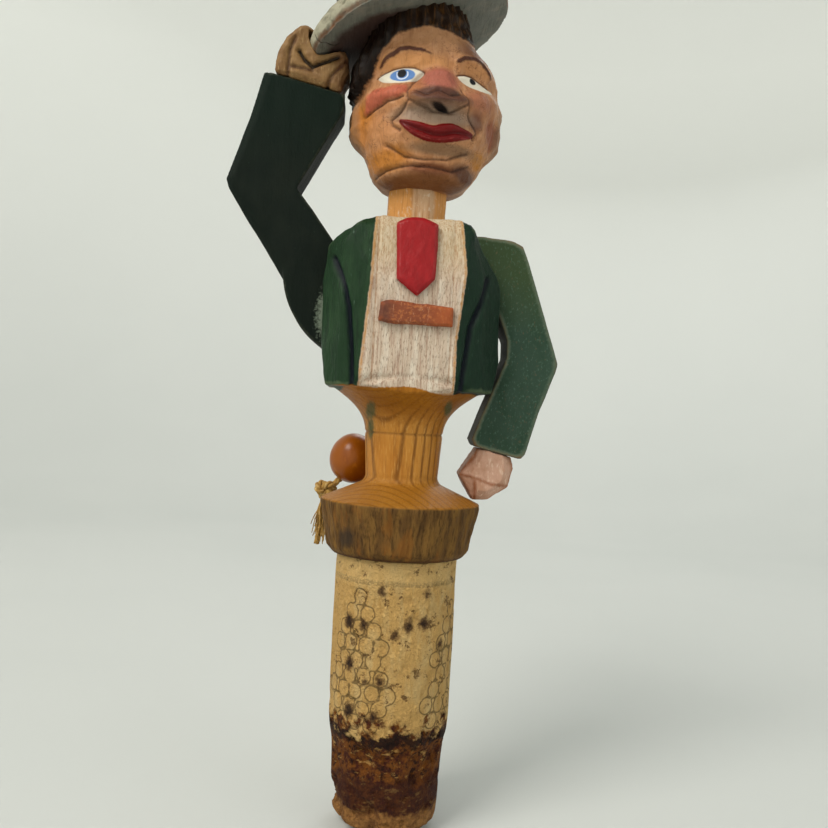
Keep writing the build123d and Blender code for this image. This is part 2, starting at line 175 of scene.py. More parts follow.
def turn_from(angle, start):
    """The angle counted from start, between minus half a turn and half a turn."""
    return (angle - start + np.pi) % (2 * np.pi) - np.pi


def unit(vectors):
    """The same directions with length 1."""
    return vectors / np.linalg.norm(vectors, axis=-1, keepdims=True)


def square_to(run):
    """Two directions of length 1 that stand square to each run and to each other."""
    side = unit(np.cross(run, (0.0, 1.0, 0.0)))
    return side, np.cross(side, run)


def line_distance(x, z, line):
    """Distance in the front view from each point to the nearest run of a broken line."""
    best = np.full(len(x), 1e9)
    for (ax, az), (bx, bz) in zip(line[:-1], line[1:]):
        run_x, run_z = bx - ax, bz - az
        t = np.clip(((x - ax) * run_x + (z - az) * run_z) / (run_x**2 + run_z**2), 0, 1)
        best = np.minimum(best, np.hypot(x - ax - t * run_x, z - az - t * run_z))
    return best


def nearest_line(x, z, lines):
    """Distance in the front view to the nearest of several broken lines."""
    return np.minimum.reduce([line_distance(x, z, line) for line in lines])


def patch_distance(x, z, outline):
    """Distance to a closed outline in the front view, negative inside it: crossings decide which side."""
    closed = np.vstack([outline, outline[:1]])
    within = np.zeros(len(x), bool)
    for (ax, az), (bx, bz) in zip(closed[:-1], closed[1:]):
        if az != bz:
            crossing = ax + (z - az) * (bx - ax) / (bz - az)
            within ^= ((az > z) != (bz > z)) & (x < crossing)
    distance = line_distance(x, z, closed)
    return np.where(within, -distance, distance)


def curve_through(points, samples, closed=False):
    """A smooth line through points: each span is the Catmull-Rom cubic of its ends and their neighbours."""
    points = np.asarray(points, float)
    if closed:
        points = np.vstack([points, points[:1]])
        padded = np.vstack([points[-2:-1], points, points[1:2]])
    else:
        padded = np.vstack([2 * points[:1] - points[1:2], points, 2 * points[-1:] - points[-2:-1]])
    place = np.linspace(0, len(points) - 1, samples)
    span = np.minimum(place.astype(int), len(points) - 2)
    t = (place - span)[:, None]
    a, b, c, d = (padded[span + i] for i in range(4))
    return 0.5 * (2 * b + (c - a) * t + (2 * a - 5 * b + 4 * c - d) * t**2 + (3 * b - a - 3 * c + d) * t**3)


def smooth_patch(x, z, outline, samples=40):
    """Distance to the smooth closed curve through an outline's points, negative inside it."""
    return patch_distance(x, z, curve_through(outline, samples, closed=True)[:-1])


def turned(profile, around):
    """Rings of a turned piece: each (radius, height) of the profile goes once round the Z axis."""
    angle = np.linspace(0, 2 * np.pi, around, endpoint=False)
    radius, height = profile[:, :1], profile[:, 1:]
    return np.stack([radius * np.cos(angle), radius * np.sin(angle), height + 0 * angle], -1)


def bands(rings):
    """Numbers of the points in rings, of their neighbours along the ring, and the faces between rings."""
    count, around, _ = rings.shape
    index = np.arange(count * around).reshape(count, around)
    beside = np.roll(index, -1, axis=1)
    return index, beside, np.stack([index[:-1], beside[:-1], beside[1:], index[1:]], -1).reshape(-1, 4)


def skin(rings):
    """Points and faces of a skin over rings of points, closed by a fan at each end."""
    count, around, _ = rings.shape
    index, beside, quads = bands(rings)
    start = np.stack([np.full(around, count * around), beside[0], index[0]], -1)
    end = np.stack([np.full(around, count * around + 1), index[-1], beside[-1]], -1)
    points = np.concatenate([rings.reshape(-1, 3), rings[:1].mean(1), rings[-1:].mean(1)])
    return points, [quads, np.concatenate([start, end])]


def tubes(paths, radius, sides):
    """Round tubes along paths: at each step a ring stands square to the path."""
    side, up = square_to(unit(np.gradient(paths, axis=1)))
    turn = np.linspace(0, 2 * np.pi, sides, endpoint=False)
    turn = np.broadcast_to(turn, paths.shape[:2] + (sides,))[..., None]
    wide = np.broadcast_to(radius, paths.shape[:2])[..., None, None]
    rings = paths[:, :, None] + wide * (np.cos(turn) * side[:, :, None] + np.sin(turn) * up[:, :, None])
    points, faces, first = [], [], 0
    for one in rings:
        tube_points, tube_faces = skin(one)
        points.append(tube_points)
        faces += [part + first for part in tube_faces]
        first += len(tube_points)
    return np.concatenate(points), faces


def twisted(path, strands, reach, pitch, radius):
    """A rope: strands wind round the path at a reach from it, one turn in each pitch of length."""
    length = np.append(0, np.cumsum(np.linalg.norm(np.diff(path, axis=0), axis=1)))
    side, up = square_to(unit(np.gradient(path, axis=0)))
    turn = 2 * np.pi * (length / pitch + np.arange(strands)[:, None] / strands)[..., None]
    return tubes(path + reach * (np.cos(turn) * side + np.sin(turn) * up), radius, STRAND_SIDES)


def new_object(name, data):
    """A new object with the data, linked to the scene."""
    item = bpy.data.objects.new(name, data)
    bpy.context.scene.collection.objects.link(item)
    return item


def numbers_of(items, key, width, kind):
    """One row of numbers from each point, edge, corner or face of a mesh."""
    numbers = np.zeros(len(items) * width, kind)
    items.foreach_get(key, numbers)
    return numbers.reshape(-1, width)


def build_mesh(name, points, faces, marks=None):
    """An object from points in mm and face arrays, with one stored number per point for each mark."""
    mesh = bpy.data.meshes.new(name)
    mesh.vertices.add(len(points))
    mesh.vertices.foreach_set("co", (np.asarray(points) * MM).astype(np.float32).ravel())
    loops = np.concatenate([part.ravel() for part in faces]).astype(np.int32)
    counts = np.concatenate([np.full(len(part), part.shape[1]) for part in faces])
    mesh.loops.add(len(loops))
    mesh.loops.foreach_set("vertex_index", loops)
    mesh.polygons.add(len(counts))
    mesh.polygons.foreach_set("loop_start", (np.cumsum(counts) - counts).astype(np.int32))
    mesh.update(calc_edges=True)
    mesh.shade_smooth()
    for mark, values in (marks or {}).items():
        mesh.attributes.new(mark, "FLOAT", "POINT").data.foreach_set("value", values.astype(np.float32))
    return new_object(name, mesh)


def face_outwards(piece):
    """Turns the faces of a closed mesh outwards."""
    turned_mesh = bmesh.new()
    turned_mesh.from_mesh(piece.data)
    bmesh.ops.recalc_face_normals(turned_mesh, faces=turned_mesh.faces)
    turned_mesh.to_mesh(piece.data)
    turned_mesh.free()


class Carving:
    """A close-meshed copy of a CAD node: points in mm, faces, edges and normals, ready to be cut."""

    def __init__(self, node, step):
        """Copies the node, joins its triangles, remeshes it in voxels and rounds its edges by averaging."""
        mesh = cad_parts[node].data.copy()
        joined = bmesh.new()
        joined.from_mesh(mesh)
        bmesh.ops.remove_doubles(joined, verts=joined.verts, dist=1e-6)
        joined.to_mesh(mesh)
        joined.free()
        rough = new_object("rough", mesh)
        remesh = rough.modifiers.new("voxels", "REMESH")
        remesh.mode = "VOXEL"
        remesh.voxel_size = step * MM
        fine = bpy.data.meshes.new_from_object(rough.evaluated_get(bpy.context.evaluated_depsgraph_get()))
        bpy.data.objects.remove(rough)
        bpy.data.meshes.remove(mesh)
        self.step = step
        self.read(fine)
        self.points = (self.points + self.neighbour_mean(self.points)) / 2
        fine.vertices.foreach_set("co", (self.points * MM).astype(np.float32).ravel())
        self.read(fine)
        bpy.data.meshes.remove(fine)

    def read(self, mesh):
        """Takes points, normals, edges and faces from a mesh."""
        mesh.update()
        self.points = numbers_of(mesh.vertices, "co", 3, np.float32).astype(float) / MM
        self.normals = numbers_of(mesh.vertex_normals, "vector", 3, np.float32).astype(float)
        self.edges = numbers_of(mesh.edges, "vertices", 2, np.int32)
        loops = numbers_of(mesh.loops, "vertex_index", 1, np.int32).ravel()
        starts = numbers_of(mesh.polygons, "loop_start", 1, np.int32).ravel()
        counts = np.diff(np.append(starts, len(loops)))
        self.faces = [loops[starts[counts == n][:, None] + np.arange(n)] for n in np.unique(counts)]

    def neighbour_mean(self, values):
        """Each point's mean over the points that share an edge with it."""
        ends = np.concatenate([self.edges, self.edges[:, ::-1]])
        shares = np.maximum(np.bincount(ends[:, 0], minlength=len(values)), 1)
        columns = values.reshape(len(values), -1)
        sums = [np.bincount(ends[:, 0], column[ends[:, 1]], len(values)) / shares for column in columns.T]
        return np.stack(sums, -1).reshape(values.shape)

    def blurred(self, values, times):
        """The values averaged over their neighbours several times."""
        for _ in range(times):
            values = self.neighbour_mean(values)
        return values

    def ridge(self):
        """How far each point stands out from its neighbours, blurred: above 0 on edges, below in hollows."""
        apart = self.points - self.blurred(self.points, 4)
        return self.blurred(np.einsum("ij,ij->i", apart, self.normals) / self.step, 3)

    def push(self, distance):
        """Moves each point along its normal."""
        self.points = self.points + self.normals * distance[:, None]


# ---- materials ----
def add(tree, kind, inputs=None, out=0, **settings):
    """Adds a node and returns one output: inputs maps sockets to values or to other nodes' outputs."""
    node = tree.nodes.new(kind)
    for name, value in settings.items():
        setattr(node, name, value)
    for socket, value in (inputs or {}).items():
        if isinstance(value, bpy.types.NodeSocket):
            tree.links.new(value, node.inputs[socket])
        else:
            node.inputs[socket].default_value = value
    return node.outputs[out]


def mottle(tree, cell, low=None, high=None, seed=0.0, detail=4.0, rough=0.6):
    """A blotchy pattern whose cells measure (x, y, z) mm, stretched so that low is 0 and high is 1."""
    place = add(tree, "ShaderNodeTexCoord", out="Object")
    scale = tuple(1 / (side * MM) for side in cell)
    moved = add(tree, "ShaderNodeMapping", {"Vector": place, "Scale": scale, "Location": (seed, 2 * seed, 0)})
    inputs = {"Vector": moved, "Scale": 1.0, "Detail": detail, "Roughness": rough}
    noise = add(tree, "ShaderNodeTexNoise", inputs)
    if low is None:
        return noise
    return add(tree, "ShaderNodeMapRange", {0: noise, 1: low, 2: high})


def patch(tree, name, edge=0.0, soft=0.12, wobble=0.3, cell=0.8, seed=3.0):
    """1 inside a painted patch: the mesh's stored distance to its edge, shaken as a brush shakes."""
    blotch = mottle(tree, (cell,) * 3, seed=seed)
    shake = add(tree, "ShaderNodeMath", {0: blotch, 1: 0.5}, operation="SUBTRACT")
    shaken = {0: shake, 1: 2 * wobble, 2: add(tree, "ShaderNodeAttribute", out="Fac", attribute_name=name)}
    distance = add(tree, "ShaderNodeMath", shaken, operation="MULTIPLY_ADD")
    return add(tree, "ShaderNodeMapRange", {0: distance, 1: edge + soft, 2: edge - soft})


# The wave texture's scale at which its rings lie 1 mm apart.
RING_SCALE = 0.314


def rings_of_growth(tree, middle, spacing, shake):
    """Growth rings of the wood: waves round an upright line at (x, y) mm, a spacing in mm apart."""
    place = add(tree, "ShaderNodeTexCoord", out="Object")
    shift = (-middle[0], -middle[1], 0)
    moved = add(tree, "ShaderNodeMapping", {"Vector": place, "Scale": (1 / MM,) * 3, "Location": shift})
    scale = RING_SCALE / spacing
    wave = {"Vector": moved, "Scale": scale, "Distortion": shake, "Detail": 3.0, "Detail Scale": 0.6}
    return add(tree, "ShaderNodeTexWave", wave, out="Fac", wave_type="RINGS", rings_direction="Z")


def paint_of(shade):
    """A shade for a socket: another socket, or four numbers for a hex colour or a colour of the panel."""
    if isinstance(shade, bpy.types.NodeSocket):
        return shade
    return (*(linear(shade) if shade.startswith("#") else getattr(colours(), shade)), 1)


def layers(tree, base, *coats):
    """Coats over a base colour: each (mask, colour, strength) covers what is below where its mask is 1.

    A mask is a socket, what patch takes (a mark's name first) or what mottle takes (its cell first).
    """
    for mask, shade, *strength in coats:
        if isinstance(mask, tuple):
            mask = (patch if isinstance(mask[0], str) else mottle)(tree, *mask)
        if strength:
            mask = add(tree, "ShaderNodeMath", {0: mask, 1: strength[0]}, operation="MULTIPLY")
        inputs = {0: mask, 6: paint_of(base), 7: paint_of(shade)}
        base = add(tree, "ShaderNodeMix", inputs, out=2, data_type="RGBA")
    return base


def finish(name, paint, roughness=0.6, relief=None, relief_mm=0.1, gloss=0.2, **constants):
    """A material: paint(tree) is its colour, relief(tree) its height in relief_mm, gloss its specularity."""
    material = bpy.data.materials.new(name)
    material.use_nodes = True
    tree = material.node_tree
    shader = tree.nodes["Principled BSDF"]
    tree.links.new(paint(tree), shader.inputs["Base Color"])
    shader.inputs["Specular IOR Level"].default_value = gloss
    if callable(roughness):
        tree.links.new(roughness(tree), shader.inputs["Roughness"])
    else:
        shader.inputs["Roughness"].default_value = roughness
    for socket, value in constants.items():
        shader.inputs[socket.replace("_", " ")].default_value = value
    if relief:
        bump = {"Height": relief(tree), "Distance": relief_mm * MM, "Strength": 1.0}
        tree.links.new(add(tree, "ShaderNodeBump", bump), shader.inputs["Normal"])
    return material


def dress(piece, material, slot, body, *nodes):
    """Gives a piece its material and body, and hides the CAD nodes that it stands for; slot is not used."""
    piece.data.materials.clear()
    piece.data.materials.append(material)
    if body:
        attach(piece, body)
    if nodes:
        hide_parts(*nodes)


# ---- cork ----
CORK_RADIUS = 10.55
CORK_BOTTOM = -47.0
# Heights on the cork: the printed band, the tops of the stain and of the worn end, and the tide mark.
BAND_HEIGHT, STAIN_TOP, WORN_TOP, TIDE_HEIGHT = -3.7, -27.6, -42.2, -29.6
# Where each printed bunch of grapes stands round the cork, in radians from +X, and its top.
BUNCHES = ((-2.2, -6.4), (-0.42, -8.5), (1.4, -7.0))
GRAPES_IN_ROW = (1, 2, 3, 4, 3, 4, 5, 4, 3)
GRAPE_RADIUS, GRAPE_STEP, ROW_STEP = 1.34, 2.95, 2.6


def printed_grapes(angle, height):
    """Distance to the nearest printed circle, negative inside: rows of grapes that narrow downwards."""
    best = np.full(len(angle), FAR)
    for number, (middle, top) in enumerate(BUNCHES):
        across = turn_from(angle, middle) * CORK_RADIUS
        for row, grapes in enumerate(GRAPES_IN_ROW):
            for place in range(grapes):
                centre_x = (place - (grapes - 1) / 2) * GRAPE_STEP
                centre_x += 0.13 * np.sin(5 * row + 3 * place + number)
                centre_z = top - ROW_STEP * row + 0.13 * np.cos(4 * place + row)
                radius = GRAPE_RADIUS + 0.05 * np.sin(row + 2 * place + number)
                squash = 0.98 + 0.04 * np.sin(place + row)
                away = np.hypot(across - centre_x, (height - centre_z) * squash)
                best = np.minimum(best, away - radius)
    return best


# Larger pits: degrees round from the front, height and radius.
PITS = (
    (-48, -10.8, 1.1), (-31, -10.9, 0.8), (-1, -12.0, 0.7), (11, -10.4, 0.9), (26, -10.1, 0.9),
    (28, -5.4, 0.6), (-15, -5.0, 0.6), (-45, -17.6, 1.0), (-12, -19.7, 0.8), (-26, -20.0, 0.5),
    (-43, -25.4, 1.1), (-17, -25.8, 0.8), (47, -14.0, 0.7), (110, -9.0, 1.0), (150, -16.0, 0.9),
    (200, -21.0, 1.1), (240, -12.0, 0.8), (85, -22.5, 0.7),
)


def pit_distance(angle, height):
    """Distance round the cork to the edge of the nearest larger pit, negative inside it."""
    best = np.full(len(angle), FAR)
    for degrees, middle, radius in PITS:
        across = turn_from(angle, np.radians(degrees - 90)) * CORK_RADIUS
        best = np.minimum(best, np.hypot(across, (height - middle) * 0.8) - radius)
    return best


def cork_colour(tree):
    """Tan cork with pores, pits and thin printed lines, painted paler at its top as painted light; below, a
    wine stain with a dark tide mark.
    """
    fleck = mottle(tree, (0.7, 0.7, 0.9), detail=6.0, rough=0.7)
    streak = mottle(tree, (2.2, 2.2, 7.0), 0.45, 0.7, 4.0)
    fine = add(tree, "ShaderNodeMapRange", {0: fleck, 1: 0.5, 2: 0.72})
    clots = mottle(tree, (2.4, 2.4, 2.2), 0.575, 0.63, 8.0, 5.0, 0.75)
    blotch = mottle(tree, (1.5, 1.5, 1.6), 0.44, 0.6, 2.0, 5.0, 0.75)
    stained = layers(
        tree,
        "#764412",
        (blotch, "stain"),
        (((1.0, 1.0, 1.2), 0.52, 0.62, 7.0, 5.0), "#200b05", 0.9),
        (((1.8, 1.8, 1.1), 0.58, 0.66, 12.0), "#bb8f50", 0.8),
        (("height", -36.5, 1.0, 5.0, 4.0), "#39160b", 0.7),
        (("tide", 0.0, 0.6, 4.0, 1.7, 9.0), "#180703", 0.88),
    )
    worn_end = layers(tree, "#a3733e", (blotch, "#684020", 0.8), (fine, "#40240f", 0.6))
    clean = layers(tree, "cork", (streak, "#d3b882", 0.7), (fine, "#9c7440", 0.45))
    hatch = {0: mottle(tree, (0.35, 0.35, 0.35), 0.42, 0.5, 5.0), 1: patch(tree, "band", 0.0, 0.1, 0.15)}
    printed = layers(
        tree,
        clean,
        (("grapes", 0.1, 0.07, 0.16), "#5f4c2c", 0.8),
        (("grapes", -0.12, 0.07, 0.16), clean),
        (add(tree, "ShaderNodeMath", hatch, operation="MULTIPLY"), "#6f5c38", 0.7),
    )
    return layers(
        tree,
        printed,
        # Painted light: the top of the cork, in the collar's shadow, is painted paler.
        (("painted_light_under_collar", 0.0, 0.8, 0.6), "#dcb87a", 0.5),
        (clots, "#4d2f16", 0.8),
        (("pits", 0.0, 0.3, 1.0, 0.8, 6.0), "#452a18", 0.85),
        (("pits", -0.45, 0.2, 0.8, 0.5, 8.0), "#1d0f08", 0.8),
        (("height", STAIN_TOP, 0.7, 7.5, 2.6), stained),
        (("height", WORN_TOP, 0.6, 3.0, 3.0), worn_end),
    )


def cork_relief(tree):
    """Pores and torn pits."""
    clots = mottle(tree, (2.3, 2.3, 2.0), 0.68, 0.58, 8.0, 5.0, 0.75)
    pores = mottle(tree, (0.45, 0.45, 0.6), 0.3, 0.6, detail=5.0)
    return add(tree, "ShaderNodeMath", {0: clots, 1: pores}, operation="MULTIPLY")


class STOPPER_OT_cork(bpy.types.Operator):
    """Cork: a turned plug whose end is worn, chipped and stained"""

    bl_idname = "stopper.cork"
    bl_label = "Cork"

    def execute(self, context):
        outline = (
            (0.7, 0.25), (4.5, 0.3), (7.2, 0.7), (8.8, 1.7), (9.3, 3.5), (9.5, 8.0), (9.7, 14.0),
            (10.3, 17.5), (10.55, 22.0), (10.55, 34.0), (10.5, 45.5), (10.35, 46.9),
        )
        profile = curve_through(outline, 200) + (0, CORK_BOTTOM)
        points, faces = skin(turned(profile, 300))
        angle, height = np.arctan2(points[:, 1], points[:, 0]), points[:, 2].copy()
        worn = smooth_step(-height, 20.0, 40.0)
        chips = smooth_step(ripple(points, 6.0, 11), 0.1, 0.8) * worn
        pits = smooth_step(ripple(points, 2.0, 4), 0.5, 0.9) * 0.35
        waves = 0.12 * (ripple(points, (7, 7, 16), 7) - 1) * smooth_step(-height, 0.2, 2.0)
        reach = np.maximum(np.hypot(points[:, 0], points[:, 1]), 0.01)
        shift = (waves - chips - pits) * smooth_step(reach, 1.0, 6.0) / reach
        points[:, :2] *= 1 + shift[:, None]
        ends = 0.5 * np.abs(ripple(points, 3.0, 21)) * smooth_step(-height, 43.0, 46.5)
        points[:, 2] += ends
        marks = {
            "height": height,
            "grapes": printed_grapes(angle, height),
            "band": np.abs(height - BAND_HEIGHT) - 0.45,
            "tide": np.abs(height - TIDE_HEIGHT) - 1.1,
            # Where the top of the cork is painted paler as painted light.
            "painted_light_under_collar": -height - 4.1,
            "pits": pit_distance(angle, height),
        }
        piece = build_mesh("natural_cork", points, faces, marks)
        # Natural cork: matt, pitted and a little waxy where it was squeezed.
        material = finish("natural_cork", cork_colour, 0.8, cork_relief, 0.3)
        dress(piece, material, "cork", FIGURE, "cork")
        return {"FINISHED"}


# ---- body: collar, waist and coat ----
# Lines and outlines here and below are (x, z) places in mm in the front view.
LEFT_LAPEL = ((-13.6, 49.5), (-11.6, 44.7), (-10.7, 41.3), (-10.1, 36.1), (-9.5, 28.0))
RIGHT_LAPEL = ((12.3, 47.5), (11.2, 43.5), (9.5, 39.1), (9.1, 35.3), (8.1, 27.6))
SHIRT = ((-6.9, 58.5), (-7.3, 52), (-7.4, 46), (-8.0, 38), (-8.6, 27.9), (-3, 27.7), (2, 27.3), (7.3, 27.8),
         (7.2, 36.5), (7.8, 42), (8.3, 48), (7.6, 54.5), (7.3, 58.5))
HEM_HEIGHT = 28.3
SMEARS = (((-6.1, 24.6), (0.8, 1.5)), ((-5.9, 21.6), (0.5, 1.8)), ((7.0, 25.6), (0.7, 1.2)))
NOTCH_HEIGHT = 20.9
COLLAR_TOP = 9.1
# Where the shirt has its two upright tucks, and how far the raised sleeve's slot is wider than the sleeve.
TUCKS = (-6.4, 6.2)
SLOT_GAP = 0.2


def body_colour(tree):
    """Varnished pine, with green oil paint on the coat and thin cream paint on the shirt; painted shade
    darkens the coat's right side and the walls of the raised sleeve's slot.
    """
    grain = mottle(tree, (0.45, 0.45, 14.0), detail=5.0, rough=0.65)
    dark_grain = add(tree, "ShaderNodeMapRange", {0: grain, 1: 0.5, 2: 0.68})
    growth = rings_of_growth(tree, (-17.0, -29.0), 1.5, 0.35)
    thin_growth = add(tree, "ShaderNodeMapRange", {0: growth, 1: 0.72, 2: 1.0})
    glow = mottle(tree, (5.0, 5.0, 9.0), 0.42, 0.62, 2.0)
    wood = layers(
        tree,
        "pine",
        (glow, "#a86a22", 0.75),
        (dark_grain, "#8c571f", 0.6),
        (thin_growth, "#62370f", 0.7),
        (((0.22, 0.22, 9.0), 0.55, 0.68, 6.0), "#d3a258", 0.5),
    )
    flare = layers(tree, "#985c0a", (dark_grain, "#683a08", 0.6), (glow, "#7c4808", 0.6))
    bark = layers(
        tree,
        "bark",
        (((1.6, 1.6, 9.0), 0.42, 0.6, 9.0), "#7c5a2a", 0.8),
        (((0.5, 0.5, 5.0), 0.48, 0.62, 3.0, 6.0, 0.75), "#33220f", 0.75),
        (((2.8, 2.8, 12.0), 0.56, 0.66, 5.0), "#8c561e", 0.45),
        (("knot_spot", 0.0, 0.5, 0.6), "#2d2620", 0.8),
    )
    coat = layers(
        tree,
        "coat",
        (((2.2, 2.2, 9.0), 0.45, 0.68, 1.0), "coat_light", 0.7),
        (((0.5, 0.5, 6.0), 0.52, 0.68, 7.0), "#0c1c10", 0.7),
        # Painted shade: darker green on the coat's right side, away from the light.
        (("coat_right_painted_shade", 0.0, 2.5, 0.8), "#0c2418", 0.8),
        (((0.5, 0.5, 2.4), 0.66, 0.74, 8.0), "#6f8a78", 0.4),
        (("worn", -0.24, 0.08, 0.08), "#5d6a4c", 0.6),
    )
    # Ochre shows through the cream in short upright specks.
    ochre = layers(tree, "#cdbb96", (((0.28, 0.28, 1.1), 0.46, 0.6, 4.0, 5.0), "#a57a3c", 0.85))
    shirt = layers(
        tree,
        "shirt",
        (((0.3, 0.3, 7.0), 0.47, 0.62, 2.0, 6.0, 0.7), "#96705c", 0.6),
        (((0.9, 0.9, 9.0), 0.5, 0.66, 9.0), "#ddd2c0", 0.75),
        (((0.22, 0.22, 0.8), 0.53, 0.62, 5.0), "#6f5542", 0.5),
        (("collar_ochre", 0.0, 3.0, 1.5), ochre, 0.55),
    )
    edge_stripe = layers(
        tree,
        shirt,
        (("shirt_edge", 0.16, 0.14, 0.3), "#b0762c", 0.75),
        (("tuck", 0.1, 0.12, 0.16), "#94643a", 0.7),
    )
    upper = layers(tree, coat, (("shirt", 0.0, 0.08, 0.22), edge_stripe))
    painted = layers(
        tree,
        upper,
        (("lapel", 0.4, 0.2, 0.16), "#070f18"),
        # Painted shade: the walls of the raised sleeve's slot are near-black.
        (("slot_walls_painted_shade", 0.0, 0.3, 0.0), "#14100c"),
    )
    timber = layers(
        tree,
        wood,
        (("flare", 0.0, 2.0, 1.0), flare, 0.8),
        (("cone", 0.0, 1.0, 1.0), "#8a5810", 0.6),
        (("smear", 0.0, 0.3, 0.5, 0.5), "#2f4a2a", 0.75),
        (("collar", 0.0, 0.15, 0.15), bark),
        (("scribe", 0.16, 0.16, 0.05), "#5c3812", 0.5),
        (("foot", 0.25, 0.2, 0.15), "#38200f", 0.6),
    )
    return layers(tree, timber, (("coat", 0.0, 0.1, 0.3), painted))


def body_roughness(tree):
    """Varnish on bare wood shines, oil paint is satin, and the thin shirt and the collar's side are matt."""
    blotch = mottle(tree, (1.5, 1.5, 4.0))
    varnish = add(tree, "ShaderNodeMapRange", {0: blotch, 1: 0.3, 2: 0.7, 3: 0.3, 4: 0.5})
    matt = {0: patch(tree, "collar"), 2: varnish, 3: 0.75}
    painted = {0: patch(tree, "coat"), 2: add(tree, "ShaderNodeMix", matt), 3: 0.45}
    shirt = {0: patch(tree, "shirt"), 2: add(tree, "ShaderNodeMix", painted), 3: 0.65}
    return add(tree, "ShaderNodeMix", shirt)


def body_relief(tree):
    """Open grain along the wood and fine cracks."""
    grain = mottle(tree, (0.3, 0.3, 6.0), detail=5.0, rough=0.7)
    return add(tree, "ShaderNodeMath", {0: grain, 1: mottle(tree, (0.5, 0.5, 1.2))}, operation="ADD")


class STOPPER_OT_body(bpy.types.Operator):
    """Body: collar, waist and coat from one block, cut with a knife and painted"""

    bl_idname = "stopper.body"
    bl_label = "Body"

    def execute(self, context):
        carving = Carving("carved_body", sizes().carving_step + 0.03)
        x, y, z = carving.points.T
        # The shoulders fall away, more steeply on the side of the hip sleeve.
        x = x - smooth_step(x, 6, 13) * (0.5 + 2.2 * smooth_step(z, 46, 54)) * smooth_step(z, 30, 40)
        x = x + smooth_step(-x, 6, 13) * 2.6 * smooth_step(z, 51.5, 57)
        carving.points = np.stack([x, y, z], -1)
        angle = np.arctan2(y, x)
        front = smooth_step(-y, 2.0, 6.0)
        lapel = nearest_line(x, z, (LEFT_LAPEL, RIGHT_LAPEL)) + FAR * (y > 0)
        shirt = patch_distance(x, z, np.array(SHIRT)) + FAR * (y > -4)
        hem = HEM_HEIGHT + 0.35 * np.sin(3 * angle + 1) + 0.25 * np.sin(7 * angle) - z
        slot_low, slot_high = np.array(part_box("raised_sleeve")) / MM
        in_slot = (y > slot_low[1] - SLOT_GAP) & (y < slot_high[1] + SLOT_GAP) & (x < -7.5)
        # The walls of the raised sleeve's slot: left uncut, and painted near-black as painted shade.
        inner = np.where(in_slot & (np.abs(carving.normals[:, 1]) > 0.7), -1.0, 1.0)
        above = smooth_step(z, HEM_HEIGHT - 0.5, HEM_HEIGHT + 2)
        cut = -sizes().lapel_depth * bulge(lapel, 0.42) * front * above
        knife = sizes().knife_ripple * ripple(carving.points, (3.2, 3.2, 8.0), 5) * above
        turned_marks = -0.22 * bulge(z - NOTCH_HEIGHT, 0.22) * (1 - above)
        tuck = np.minimum(*(np.abs(x - place) for place in TUCKS)) + FAR * (y > -8) + FAR * (z < 29.5)
        tucks = -0.22 * bulge(tuck, 0.25) * front * above
        sides = smooth_step(-z, -COLLAR_TOP - 0.3, -COLLAR_TOP + 0.2) * smooth_step(z, 0.6, 1.6)
        rough = 0.22 * ripple(carving.points, (1.6, 1.6, 9.0), 12) * sides
        clean = (inner > 0).astype(float)
        ridge = carving.ridge()
        marks = {
            "coat": hem,
            "shirt": shirt,
            "shirt_edge": np.abs(shirt + 0.22),
            "collar_ochre": 48.5 - z,
            "tuck": tuck,
            "lapel": lapel,
            "worn": -ridge,
            # Where the coat is painted darker green as painted shade.
            "coat_right_painted_shade": 5.0 - x,
            "slot_walls_painted_shade": inner,
            "flare": 23.8 - z,
            "cone": z - 13.2,
            "collar": z - COLLAR_TOP,
            "foot": z - 0.2,
            "scribe": np.abs(z - NOTCH_HEIGHT),
            "knot_spot": np.hypot(x + 9.0, (z - 3.4) * 0.7) - 1.1 + FAR * (y > 0),
            "smear": np.minimum.reduce([oval(x, z, *smear) for smear in SMEARS]) + FAR * (y > 0),
        }
        carving.push((cut + knife + turned_marks + tucks + rough) * clean)
        piece = build_mesh("carved_coat_and_collar", carving.points, carving.faces, marks)
        # Pine: warm and see-through under varnish, with a thin skin of oil paint above the hem.
        material = finish(
            "varnished_and_painted_pine", body_colour, body_roughness, body_relief, 0.12, gloss=0.15
        )
        dress(piece, material, "varnished_pine", FIGURE, "carved_body")
        return {"FINISHED"}


